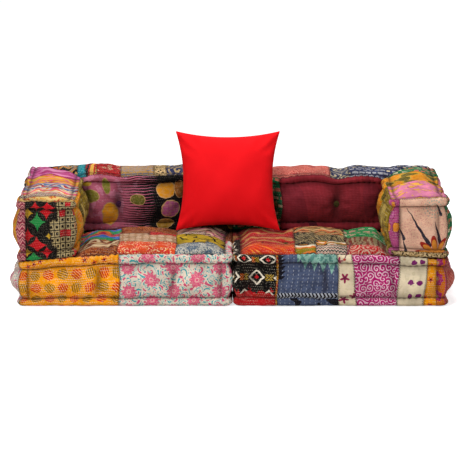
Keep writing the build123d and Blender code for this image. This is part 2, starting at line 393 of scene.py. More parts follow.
def big_spots(vector, ground, motif, accent, fourth):
    x, y, luck = scattered(vector)
    radius, _ = polar(x, y)
    uneven = radius + noise(vector, 2.4, 3.0) * 0.4
    ink = over(luck > 0.5, motif, accent)
    colour = over(noise(vector, 3.0, 2.0) > 0.6, ground, accent)
    colour = over(uneven < 0.52, colour, ink)
    return over(between(uneven, 0.47, 0.54), colour, fourth)


def branches(vector, ground, motif, accent, fourth):
    bent = moved(vector, "ADD", join(noise(vector, 1.5), noise(vector, 1.1)))
    cells = {"Vector": bent, "Scale": 1.0}
    settings = {"voronoi_dimensions": "2D", "feature": "DISTANCE_TO_EDGE"}
    edge = bent.through("ShaderNodeTexVoronoi", cells, "Distance", **settings)
    patchy = noise(vector, 0.9, 1.0)
    colour = over(patchy > 0.58, ground, accent)
    colour = over(patchy < 0.38, colour, fourth)
    return over(edge < 0.05, colour, motif)


def dash_rows(vector, ground, motif, accent, fourth):
    x, y, luck = repeat(vector)
    uneven = abs(x) + luck * 0.2
    wavy = y + noise(vector, 1.4) * 0.24
    level = abs(wavy - 0.12)
    mask = (uneven < 0.46) * (level < 0.19)
    colour = over(noise(vector, 1.2) < 0.42, ground, fourth)
    return over(mask, colour, over(luck > 0.75, accent, motif))


def speckled(vector, ground, motif, accent, fourth):
    value = noise(vector, 7.0, 4.0)
    colour = bands(value, motif, (0.45, ground), (0.57, accent))
    broad = noise(vector, 1.0, 2.0) > 0.6
    return over(broad * 0.7, colour, fourth)


def ribbed(vector, ground, motif, accent, fourth):
    parts = split(vector)
    rib = (parts[0] * 26.0).sine()
    colour = over((rib > 0.3) * 0.18, ground, accent)
    ghost = noise(vector, 0.42, 3.0) > 0.64
    colour = over(ghost * 0.8, colour, motif)
    faded = (noise(vector, 0.3, 1.0) < 0.42) * 0.5
    return over(faded, colour, fourth)


def stripes(vector, ground, motif, accent, fourth):
    parts = split(vector)
    wavy = parts[0] + noise(vector, 0.8) * 0.5
    share = wavy.fract()
    layers = ((0.22, motif), (0.36, ground), (0.48, accent), (0.72, fourth), (0.84, accent))
    return bands(share, ground, *layers)


def five_petals(vector, ground, motif, accent, fourth):
    x, y, luck = scattered(vector)
    radius, angle = polar(x, y)
    turned = angle * 5.0 + luck * 6.28
    edge = turned.sine() * 0.09 + 0.2
    sprig = noise(vector, 3.6, 3.0) > 0.57
    colour = over(sprig, ground, fourth)
    colour = over(radius < edge, colour, motif)
    return over(radius < 0.09, colour, accent)


def four_buds(vector, ground, motif, accent, fourth):
    x, y, _ = repeat(vector, 0.0)
    tilt = x + y * 0.12
    bud_x = abs(tilt) - 0.17
    bud_y = (abs(y) - 0.2) * 1.5
    radius, _ = polar(bud_x, bud_y)
    rough = radius + noise(vector, 7.0) * 0.16
    crack = noise(vector, 7.0, 3.0) > 0.58
    colour = over(crack * 0.4, ground, fourth)
    return over(rough < 0.19, colour, motif)


def ringed_flowers(vector, ground, motif, accent, fourth):
    x, y, _ = repeat(vector, 0.0)
    radius, angle = polar(x, y)
    edge = (angle * 8.0).sine() * 0.04
    rough = radius + edge
    colour = over(between(rough, 0.14, 0.36), ground, motif)
    colour = over(rough < 0.1, colour, accent)
    dotted = (y * 50.0).sine() > -0.5
    line = (abs(x + 0.45) < 0.05) * dotted
    return over(line, colour, fourth)


def ovals(vector, colour, rim, shapes):
    """Painted ovals over a cloth laid in metres: place, half sizes and dye of each."""
    parts = split(vector)
    wander = noise(vector, 45.0, 2.0) * 0.5
    for x, y, wide, tall, code in shapes:
        off_x = (parts[0] - x) / wide
        off_y = (parts[1] - y) / tall
        radius, _ = polar(off_x, off_y)
        radius = radius + wander
        colour = over(radius < 1.36, colour, rim)
        shade = over(noise(vector, 90.0, 3.0) > 0.52, dye(code), rim)
        colour = over(radius < 1.25, colour, over(0.72, shade, dye(code)))
    return colour


def brush(vector, colour, ink, width, strokes):
    """Thin painted stems over a cloth laid in metres, each from one end to the other."""
    parts = split(vector)
    wander = (noise(vector, 30.0, 1.0) - 0.5) * 0.012
    for x0, y0, x1, y1 in strokes:
        run_x, run_y = x1 - x0, y1 - y0
        from_x = parts[0] - x0 + wander
        from_y = parts[1] - y0
        dot = from_x * run_x + from_y * run_y
        share = dot / (run_x ** 2 + run_y ** 2)
        share = share.larger(0.0).smaller(1.0)
        off_x = from_x - share * run_x
        off_y = from_y - share * run_y
        away, _ = polar(off_x, off_y)
        thick = (1.15 - share) * width
        colour = over(away < thick, colour, ink)
    return colour


def stitched_denim(vector, ground, motif, accent, fourth):
    """Blue cloth laid in metres: white stitch rows, pointed leaves and a twisted braid."""
    parts = split(vector)
    row_place = (parts[0] / 0.0165).fract()
    column = abs(row_place - 0.5)
    dash = (parts[1] / 0.011).fract()
    thread = (column < 0.055) * (dash < 0.42)
    shade = noise(vector, 60.0, 3.0)
    colour = over(shade > 0.53, ground, motif)
    tent_place = (parts[0] / 0.03).fract()
    tent = abs(tent_place - 0.5)
    lean = (0.338 - parts[0]) * 0.16
    reach = 0.098 + tent * 0.07 + lean
    inside = parts[0] > 0.2
    leaf = (parts[1] > reach) * inside
    veined = over(shade > 0.5, fourth, dye("4f7d74"))
    colour = over(leaf, colour, veined)
    colour = over(thread * 0.55, colour, accent)
    level = parts[1] - 0.0315
    slope = abs(level * 48.0)
    twist = (parts[0] / 0.0112 + slope).fract()
    pale = over(twist < 0.5, dye("14121a"), accent)
    colour = over(abs(level) < 0.0115, colour, pale)
    spot = noise(vector, 26.0, 1.0) > 0.54
    colour = over(spot * (parts[1] < 0.017), colour, dye("14121a"))
    jag = 0.152 + (parts[1] / 0.014).fract() * 0.014
    edge = (parts[0] < jag) * (parts[1] > 0.088)
    return over(edge, colour, dye("14121a"))


def night_garden(vector, ground, motif, accent, fourth):
    """Plum cloth laid in metres that runs into black in fine streaks, with painted fruit."""
    parts = split(vector)
    ripple = noise(vector, 14.0, 2.0) * 0.02
    line = ((parts[1] + ripple) / 0.0085).fract()
    reach = (parts[0] + 0.375) / 0.13
    reach = reach + noise(vector, 22.0, 2.0) * 0.25
    dark = line < reach
    mottled = over(noise(vector, 30.0, 3.0) > 0.55, ground, motif)
    colour = over(dark, mottled, accent)
    fruit = (
        (-0.478, 0.277, 0.026, 0.019, "6f6a22"),
        (-0.487, 0.318, 0.017, 0.011, "b08a24"),
        (-0.42, 0.316, 0.012, 0.03, "77762a"),
        (-0.419, 0.216, 0.025, 0.04, "dc961e"),
        (-0.322, 0.268, 0.023, 0.016, "57541c"),
        (-0.228, 0.301, 0.029, 0.025, "c07f18"),
        (-0.214, 0.238, 0.028, 0.027, "9c4c78"),
        (-0.222, 0.182, 0.026, 0.02, "8f6a1c"),
        (-0.178, 0.305, 0.02, 0.03, "8a5320"),
    )
    return ovals(vector, colour, fourth, fruit)


def desert_lily(vector, ground, motif, accent, fourth):
    """Dusty pink cloth laid in metres, with a lily, its dark stems and a ring of dots."""
    parts = split(vector)
    grain = noise(vector, 230.0, 3.0)
    colour = over(grain > 0.56, ground, motif)
    colour = over((noise(vector, 18.0) > 0.55) * 0.5, colour, dye("c4a089"))
    ring_x = parts[0] - 0.64
    ring_y = parts[1] - 0.322
    ring, turn = polar(ring_x, ring_y)
    dots = (turn * 17.0).sine() > 0.0
    ringed = (ring * 560.0).sine() > 0.0
    halo = dots * ringed * between(ring, 0.006, 0.036)
    colour = over(halo * 0.75, colour, dye("7f9484"))
    stems = (
        (0.632, 0.2, 0.557, 0.315),
        (0.665, 0.208, 0.647, 0.275),
        (0.668, 0.2, 0.688, 0.232),
        (0.553, 0.166, 0.549, 0.22),
        (0.549, 0.22, 0.53, 0.258),
        (0.663, 0.298, 0.65, 0.33),
    )
    colour = brush(vector, colour, accent, 0.005, stems)
    away_x = parts[0] - 0.651
    away_y = parts[1] - 0.172
    radius, angle = polar(away_x, away_y)
    points = abs((angle * 4.5).sine())
    edge = points ** 1.1 * 0.043 + 0.019
    colour = over(radius < edge, colour, dye("8f2418"))
    inner = edge * 0.78
    return over(radius < inner, colour, fourth)


def effect_group(name, inputs, outputs):
    """New node group, with its inputs as strands."""
    tree = bpy.data.node_groups.new(name, "ShaderNodeTree")
    for way, sockets in (("INPUT", inputs), ("OUTPUT", outputs)):
        for label, kind in sockets.items():
            tree.interface.new_socket(label, in_out=way, socket_type="NodeSocket" + kind)
    given = tree.nodes.new("NodeGroupInput").outputs
    strands = {label: Strand(tree, given[label]) for label in inputs}
    return tree, strands, tree.nodes.new("NodeGroupOutput").inputs


inks = ("Ground", "Motif", "Accent", "Fourth")


def block_print(draw):
    """Node group of one block-printed design, in one repeat per unit."""
    sockets = {"Vector": "Vector", **{ink: "Color" for ink in inks}}
    tree, given, result = effect_group(draw.__name__, sockets, {"Color": "Color"})
    draw(*given.values()).into(result["Color"])
    return tree


def quilting_group():
    """Worn hand quilting: faded dye, weave, running stitches, the seams between patches, and shade
    painted into creases, stitched lines and tufts.
    """
    sockets = {"Color": "Color", "Vector": "Vector", "Seam": "Float", "Fold": "Float", "Thread": "Float"}
    outputs = {"Color": "Color", "Height": "Float"}
    tree, given, result = effect_group("hand_quilting", sockets, outputs)
    vector, seam, stitched = given["Vector"], given["Seam"], given["Thread"]
    across, rise, _ = split(vector)
    row = (rise + noise(vector, 7.0, 1.0) * 0.03) / row_gap
    from_row = abs(row.fract() - 0.5)
    dash = (across / stitch_gap + row.floor() * 0.37).fract()
    kept = noise(vector, 26.0, 2.0) > 0.47
    thread = (from_row < 0.09) * (dash < 0.5) * kept * stitched
    patchy = {0: noise(vector, 18.0, 5.0), 1: 0.3, 2: 0.7, 3: 0.7, 4: 1.2}
    worn = scaled(given["Color"], vector.through("ShaderNodeMapRange", patchy))
    flecks = (noise(vector, 190.0, 2.0) > 0.6) * (stitched * 0.3)
    colour = over(flecks, worn, dye("d8ccb4"))
    colour = over(thread, colour, dye("dcd0b8"))
    pressed = seam.through("ShaderNodeMapRange", {0: seam, 1: 0.62, 2: 0.85})
    # The seams darken by themselves; the crease mark adds painted shade in creases, along stitched rolls
    # and round tufts.
    dark = (pressed * 0.4).larger(given["Fold"] * 0.8)
    colour = over(dark, colour, dye("1c0f0c"))
    along_seam = ((across + rise) / oversewn_gap).fract()
    oversewn = (seam > 0.5) * (along_seam < 0.42) * 0.55
    over(oversewn, colour, dye("120b0a")).into(result["Color"])
    puffed = (from_row * 2.0) ** 0.5
    weave = (across * yarn_count).sine() + (rise * yarn_count).sine()
    height = puffed * 0.5 + weave * 0.04 + noise(vector, 60.0, 4.0) * 2.3
    (height - pressed).into(result["Height"])
    return tree


row_gap = 0.0082
stitch_gap = 0.0068
oversewn_gap = 0.0074
yarn_count = 5200.0
quilting = quilting_group()
printed = {}
cottons = {}


def dress(shader, colour, height, strength, distance):
    """Gives a shader its colour and the relief of its surface."""
    colour.into(shader.inputs["Base Color"])
    relief = {"Strength": strength, "Distance": distance, "Height": height}
    height.through("ShaderNodeBump", relief).into(shader.inputs["Normal"])


def cotton(name, draw, size, codes, turn=0.0, stretch=1.0, thread=0.3):
    """Printed cotton whose design repeats every size metres along the cloth."""
    if draw not in printed:
        printed[draw] = block_print(draw)
    matt = {"Roughness": 0.88, "Specular IOR Level": 0.06, "Sheen Weight": 0.02}
    cottons[name], tree, shader = new_material(name, matt)
    bolt = source(tree, "ShaderNodeUVMap", uv_map="cloth")
    scale = (1.0 / size, 1.0 / (size * stretch), 1.0)
    laid = {"Vector": bolt, "Rotation": (0.0, 0.0, turn), "Scale": scale}
    sheet = {"Vector": bolt.through("ShaderNodeMapping", laid)}
    sheet.update(zip(inks, map(dye, codes.split())))
    design = bolt.through("ShaderNodeGroup", sheet, node_tree=printed[draw])
    sewn = {"Color": design, "Vector": bolt, "Thread": thread}
    for mark in ("Seam", "Fold"):
        sewn[mark] = source(tree, "ShaderNodeAttribute", "Fac", attribute_name=mark.lower())
    quilted = node(tree, "ShaderNodeGroup", sewn, node_tree=quilting).outputs
    colour, height = (Strand(tree, output) for output in quilted)
    dress(shader, colour, height, 0.6, 0.0028)


cotton("marigold_ring_dots", ring_dots, 0.0435, "e08e06 bd2014 eba52a 8a5c10", thread=0.75)
cotton("marigold_sprigs", five_petals, 0.034, "de8c08 b5201a 20120e e3a02c", thread=0.6)
cotton("rose_scrolls", trailing_flowers, 0.145, "d3c5b2 c8466c 2f9498 8fb0ac", thread=0.15)
cotton("pale_scrolls", trailing_flowers, 0.11, "d9c9b8 c4607c 8fa39a b88f8f")
cotton("black_ikat", outlined_diamonds, 0.078, "090808 b0161c d9cdb8 c05c18", stretch=0.8)
cotton("scarlet_plain", speckled, 0.05, "a81217 6b0c10 bd1f22 8f0f14")
cotton("denim_running_stitch", stitched_denim, 1.0, "48526c 3e465e b9bcc4 7fa899", thread=0.05)
cotton("cream_marks", five_petals, 0.055, "d4c3a4 8c1f48 6b1f3b cdbd9a", thread=0.15)
cotton("magenta_curls", curled, 0.0235, "d4acba a3155f a3155f d9a8bf", thread=0.1)
cotton("cream_buds", four_buds, 0.078, "d2c2a4 6f1c5c 6f1c5c b3a582", stretch=1.5, thread=0.15)
cotton("orange_ringed_flowers", ringed_flowers, 0.062, "b85e0a 8f1858 a88c66 a3206c")
cotton("star_black", star_diamonds, 1.0, "0a0808 b5141d 1f7a3a b38a24", thread=0.12)
cotton("cream_squares", framed_squares, 0.0178, "0a0707 6b5a3c a28e62 a81a20", stretch=1.2)
cotton("maroon_strip", zigzag, 0.022, "7a1f36 b0606a c4807c 4a0f1c")
cotton("rosewood_lily", desert_lily, 1.0, "d6a88c c2867a 2c2630 c47a2a", thread=0.15)
cotton("orchid_strip", big_spots, 0.05, "9c3f6c c87a24 a84f80 7c2a50")
cotton("pink_splash", big_spots, 0.05, "d4789a dba432 dca040 a8447c", thread=0.2)
cotton("olive_squares", framed_squares, 0.05, "6b5614 a8903a 8c741e b49a4a")
cotton("orange_olive", big_spots, 0.08, "cf8312 5c4f12 b86a10 b8902c")
cotton("teal_bands", wavy_bands, 0.055, "16828f c4601a 14121a b54a78")
cotton("black_zigzag", zigzag, 0.05, "0a080a c4601a b98a4a 1c7c86")
cotton("red_rows", stripes, 0.05, "96141a 1b1414 c8983c a81a1f", turn=0.1)
cotton("red_floral", five_petals, 0.03, "a3161c c9a884 2c1214 6b0f16")
cotton("tan_dashes", dash_rows, 0.017, "a8804c 5c6480 777a8c 94703f")
cotton("teal_plain", speckled, 0.05, "1c8790 156a74 2a98a0 187a86")
cotton("dotted_sand", speckled, 0.045, "a8895c 0b0908 c9b083 8f7648", thread=0.1)
cotton("navy_swirl", curled, 0.055, "a98f63 1f2748 2c3560 1f2748")
cotton("plum_garden", night_garden, 1.0, "a8566a ba7086 0a080a b08a5c", thread=0.08)
cotton("dark_olive", big_spots, 0.07, "3c3014 241d12 6d5b26 8f6a1c")
cotton("burgundy", ribbed, 0.05, "7e242c 30101a 8a303a 5f1c26", thread=0.0)
cotton("green_cream", dash_rows, 0.026, "176b40 cdbf9d b8624e 1c5c3a")
cotton("salmon_speckle", speckled, 0.024, "c25e52 9c3834 cc8676 963036")
cotton("navy_pieces", curled, 0.045, "b8a98c 2a304c 39415f 2a304c")
cotton("navy_dashes", dash_rows, 0.022, "2a304c c2b292 8f8f98 2c3560")
cotton("cream_poppies", five_petals, 0.04, "cfae68 b51f20 d09a2c c98a2c")
cotton("hatched", zigzag, 0.012, "0b0a0b b8ae9c c4b8a4 a81f22")
cotton("sorbet_waves", wavy_bands, 0.05, "d2c0a6 d07a1c cf4870 c4b29c", thread=0.1)
cotton("slate_waves", wavy_bands, 0.045, "4c6494 c8b8a0 b02c28 3c4f80", thread=0.1)
cotton("honey_waves", wavy_bands, 0.055, "cf9020 cc5078 d4a444 c46420", thread=0.1)
cotton("orchid_waves", wavy_bands, 0.08, "ae4276 c8649c a02c68 c47c9c", thread=0.15)
cotton("cream_strata", wavy_bands, 0.06, "b6986e 7c3a20 c4ac86 5c2c1c")
cotton("rainbow_bands", wavy_bands, 0.085, "9c1a42 c05818 1f7a48 3a5ca4")
cotton("rust_print", speckled, 0.035, "823a1a 541f10 a8642c 6d2c14")
cotton("beige_rings", ring_dots, 0.024, "987656 c4b094 8f4a34 b89c7c")
cotton("red_blossoms", trailing_flowers, 0.1, "bf1c24 c8481c e0c894 d8a050", thread=0.12)
cotton("mustard_trees", branches, 0.06, "9c8014 0c0a07 8f7612 c4a022", thread=0.12)
cotton("blush_arcs", wavy_bands, 0.06, "b07c6c 1a1615 c0a484 b8647a")
cotton("slate_paisley", trailing_flowers, 0.105, "aaa699 304a60 3f5870 24384a")
cotton("ember_feathers", drawn_streaks, 0.05, "b42a18 cc541a cf8a2a b4202e", turn=0.5)
cotton("red_arcs", wavy_bands, 0.08, "861014 9c1e1a a46c3c 7c0f13")
cotton("ink_strokes", drawn_streaks, 0.045, "13100d 8f7b52 13100d 2c231b", turn=1.2)
cotton("sand_bands", wavy_bands, 0.05, "a07a44 0c0a07 b04a18 c09c68")
cotton("olive_bands", wavy_bands, 0.055, "7c6a10 c8661a d8ccb0 0c0a07")
cotton("green_dashes", dash_rows, 0.03, "127a40 a8b094 a8806c 146c3a")
cotton("brown_stripes", stripes, 0.05, "6c3022 907a5c 7f6c4c 541f1a")
cotton("red_rings", curled, 0.03, "b89a84 a8141c b82026 a8141c")
cotton("calico", speckled, 0.02, "a8906a 9a8360 b59c76 a28a64")

far = 9.0
roll = 0.026
roll_round = 0.0132
roll_back = 0.0112
stitch_in = 0.0145
corner_round = 0.022
corner_crease = 0.034
corner_fillet = 0.011
past_crease = 0.041
grid_step = 0.0095
flat_cloth = 0.0034
least_height = 0.0004
# How far the painted shade reaches from creases and stitches, and round tufts.
stain_reach = 0.0045
tuft_stain = 0.012
under_tuft_deep = 0.0125
under_tuft_wide = 0.017
roll_start = -104.0
roll_turn = 238.0
gather_gap = 0.027
pucker_gap = 0.0185
blow_steps = 16
thinnest = 1e-6


def pick(*pieces):
    """Selects these pieces alone, with the first of them active."""
    bpy.ops.object.select_all(action="DESELECT")
    for piece in reversed(pieces):
        piece.select_set(True)
        bpy.context.view_layer.objects.active = piece


def smooth_faces(piece):
    for face in piece.data.polygons:
        face.use_smooth = True


def points_of(piece, label="co"):
    """Place of every point of a piece, or its normal."""
    flat = np.empty(len(piece.data.vertices) * 3, dtype=np.float32)
    piece.data.vertices.foreach_get(label, flat)
    return flat.reshape(-1, 3).astype(np.float64)


def set_points(piece, points):
    piece.data.vertices.foreach_set("co", points.astype(np.float32).ravel())
    piece.data.update()


def mark_points(piece, **marks):
    """Writes a value for every point under each label."""
    layers = piece.data.attributes
    for label, values in marks.items():
        layer = layers.get(label) or layers.new(label, "FLOAT", "POINT")
        layer.data.foreach_set("value", np.asarray(values, dtype=np.float32))


def marks_of(piece, label):
    values = np.empty(len(piece.data.vertices), dtype=np.float32)
    piece.data.attributes[label].data.foreach_get("value", values)
    return values


def cut_stops(low, high, marks, step):
    """Places to cut between two ends, through every mark, at most about a step apart."""
    inside = sorted({round(mark, 4) for mark in marks if low + step / 3 < mark < high - step / 3})
    stops = [low, *inside, high]
    cuts = []
    for first, last in zip(stops, stops[1:]):
        count = max(1, round((last - first) / step))
        cuts += [first + (last - first) * i / count for i in range(1, count + 1)]
    return cuts[:-1]


def cut_box(name, low, high, stops):
    """Box with a cut across it at every stop along X, Y and Z."""
    bpy.ops.object.select_all(action="DESELECT")
    bpy.ops.mesh.primitive_cube_add(size=1.0, location=(0.5, 0.5, 0.5))
    piece = bpy.context.object
    piece.name = name
    bpy.ops.object.transform_apply(location=True, rotation=True, scale=True)
    for axis in range(3):
        bpy.ops.object.mode_set(mode="EDIT")
        bpy.ops.mesh.select_mode(type="EDGE")
        bpy.ops.mesh.select_all(action="DESELECT")
        bpy.ops.object.mode_set(mode="OBJECT")
        along = points_of(piece)[:, axis]
        for edge in piece.data.edges:
            first, last = edge.vertices
            edge.select = bool(abs(along[first] - along[last]) > 0.5)
        bpy.ops.object.mode_set(mode="EDIT")
        bpy.ops.mesh.subdivide(number_cuts=len(stops[axis]))
        bpy.ops.object.mode_set(mode="OBJECT")
    points = points_of(piece)
    for axis in range(3):
        places = np.array([low[axis], *stops[axis], high[axis]])
        points[:, axis] = places[np.rint(points[:, axis] * (len(places) - 1)).astype(int)]
    set_points(piece, points)
    return piece


def lay_cloth(piece, layout, low, high, roll_in):
    """Gives every face its patch of cloth, a place on the bolt, and marks the seams."""
    mesh = piece.data
    names = []
    for rows in layout.values():
        for _, patches in rows:
            names += [name for _, name in patches if name not in names]
    for name in names:
        mesh.materials.append(cottons[name])
    bolt = mesh.uv_layers.new(name="cloth")
    points = points_of(piece)
    owner = np.full(len(points), -1)
    seam = np.zeros(len(points))
    for face in mesh.polygons:
        x, y, z = face.center
        normal = face.normal
        flat_axis = max(range(3), key=lambda axis: abs(normal[axis]))
        gaps = {"left": x - low[0], "right": high[0] - x, "front": y - low[1], "rear": high[1] - y}
        nearest = min(gaps, key=gaps.get)
        if flat_axis == 2 and gaps[nearest] > roll_in:
            side = "top" if normal[2] > 0 else "under"
            across, along = x, y
        else:
            side = nearest
            across, along = z, x if side in ("front", "rear") else y
        patches = next(patches for limit, patches in layout[side] if across <= limit)
        name = next(name for limit, name in patches if along <= limit)
        face.material_index = names.index(name)
        face.use_smooth = True
        run, inward = (0, 1) if side in ("front", "rear") else (1, 0)
        for corner in face.loop_indices:
            vertex = mesh.loops[corner].vertex_index
            place = points[vertex]
            wrap = min(abs(place[inward] - low[inward]), abs(high[inward] - place[inward]))
            rise = place[2] + wrap * (normal[2] if flat_axis == 2 else 0)
            bolt.data[corner].uv = place[:2] if side in ("top", "under") else (place[run], rise)
            if owner[vertex] not in (-1, face.material_index):
                seam[vertex] = 1.0
            owner[vertex] = face.material_index
    mark_points(piece, seam=seam)


def lumps(first, second, seed, size):
    """Gentle unevenness of hand-packed wadding, between about -1 and 1."""
    chance = np.random.default_rng(seed)
    total = np.zeros_like(first)
    for _ in range(7):
        angle = chance.uniform(0, math.pi)
        wave = size * chance.uniform(0.6, 1.8)
        phase = chance.uniform(0, 2 * math.pi)
        along = first * math.cos(angle) + second * math.sin(angle)
        total += np.sin(along * 2 * math.pi / wave + phase)
    return total / 3.5


def step_up(value, start, end):
    share = np.clip((value - start) / (end - start), 0.0, 1.0)
    return share * share * (3 - 2 * share)


def fade(way, reach):
    """1 at a stitch, less and less away from it."""
    return np.exp(-way / reach)


def bell(way, width):
    """1 in the middle of a rounded hollow or bump of this width."""
    return np.exp(-((way / width) ** 2))


def pleats(radius, turn, count, depth):
    """Small folds that run out from a tuft like a star."""
    return depth * np.cos(count * turn) * bell(radius - 0.030, 0.020)


def slant(points, low, high, seed):
    """Lets the hand-cut patches lean and waver a little on the flat box."""
    x, y, z = points.T
    rise = (z - (low[2] + high[2]) / 2) / (high[2] - low[2])
    room_x = step_up(np.minimum(x - low[0], high[0] - x), corner_crease, 0.09)
    room_y = step_up(np.minimum(y - low[1], high[1] - y), corner_crease, 0.09)
    lean_x = 0.017 * rise * np.sin(x * 2 * math.pi / 0.37 + seed)
    lean_y = 0.017 * rise * np.sin(y * 2 * math.pi / 0.41 + seed + 1)
    waver_x = 0.0045 * lumps(y, z, seed + 40, 0.16)
    waver_y = 0.0045 * lumps(x, z, seed + 41, 0.16)
    return np.stack([x + (lean_x + waver_x) * room_x, y + (lean_y + waver_y) * room_y, z], 1)


def rounded_plan(points, low, high):
    """Plan of a box with rounded corners: every point's place, the way out from it, how
    far it lies in, whether it faces along X, and the points of each wall."""
    x, y, _ = points.T
    from_sides = np.stack([x - low[0], high[0] - x, y - low[1], high[1] - y])
    inset_x, inset_y = from_sides[:2].min(0), from_sides[2:].min(0)
    sign_x = np.where(from_sides[0] < from_sides[1], -1.0, 1.0)
    sign_y = np.where(from_sides[2] < from_sides[3], -1.0, 1.0)
    facing_x = inset_x < inset_y
    reach_x, reach_y = corner_round - inset_x, corner_round - inset_y
    widest = np.maximum(np.maximum(reach_x, reach_y), 1e-9)
    ratio = np.minimum(reach_x, reach_y) / widest
    angle = np.where(reach_x >= reach_y, ratio, 2.0 - ratio) * math.pi / 4
    corner_x, corner_y = np.cos(angle) * sign_x, np.sin(angle) * sign_y
    middle_x = np.where(sign_x < 0, low[0] + corner_round, high[0] - corner_round)
    middle_y = np.where(sign_y < 0, low[1] + corner_round, high[1] - corner_round)
    at_corner = (inset_x < corner_round) & (inset_y < corner_round)
    x = np.where(at_corner, middle_x + corner_x * widest, x)
    y = np.where(at_corner, middle_y + corner_y * widest, y)
    out_x = np.where(at_corner, corner_x, np.where(facing_x, sign_x, 0.0))
    out_y = np.where(at_corner, corner_y, np.where(facing_x, 0.0, sign_y))
    faces = {
        "left": facing_x & (sign_x < 0),
        "right": facing_x & (sign_x > 0),
        "front": ~facing_x & (sign_y < 0),
        "rear": ~facing_x & (sign_y > 0),
    }
    return x, y, out_x, out_y, np.minimum(inset_x, inset_y), facing_x, faces


def creased_walls(faces, along, z, middle, walls, seed):
    """How far the walls swell out, are drawn in at their creases and pull on the rolls,
    how much shade is painted into the creases, and the way to them."""
    swell, pinch, fold, drawn = np.zeros((4, len(z)))
    to_stitch = np.full_like(z, far)
    height = z - middle
    for side, (amount, pins, buttoned) in walls.items():
        on_side = faces[side]
        swell[on_side] = amount
        deep = amount * 1.05 + 0.009 if buttoned else amount * 0.9 + 0.007
        for number, pin in enumerate(pins):
            wander = 0.005 * np.sin(z * 40 + seed + number)
            near = np.abs(along - pin - wander)
            reach = np.hypot(near, height)
            turn = np.arctan2(height, along - pin)
            crease = deep * (0.45 * fade(near, 0.036) + 0.55 * fade(near, 0.012))
            # Painted shade along each crease, wider and darker round a button.
            dark = 0.9 * bell(near, 0.0092)
            pull = 0.4 * bell(along - pin, 0.030)
            if buttoned:
                crease += 0.011 * fade(reach, 0.02) + pleats(reach, turn, 7, 0.0036)
                dark = np.maximum(np.exp(-((near / 0.0125) ** 4)), 0.7 * fade(near, 0.03))
                dark = np.maximum(dark, 0.95 * fade(reach, 0.017))
                pull = bell(along - pin, 0.030)
            pinch[on_side] += crease[on_side]
            fold = np.where(on_side, np.maximum(fold, dark), fold)
            drawn = np.where(on_side, np.maximum(drawn, pull), drawn)
            to_stitch = np.where(on_side, np.minimum(to_stitch, near + 0.004), to_stitch)
    return swell, pinch, fold, drawn, to_stitch


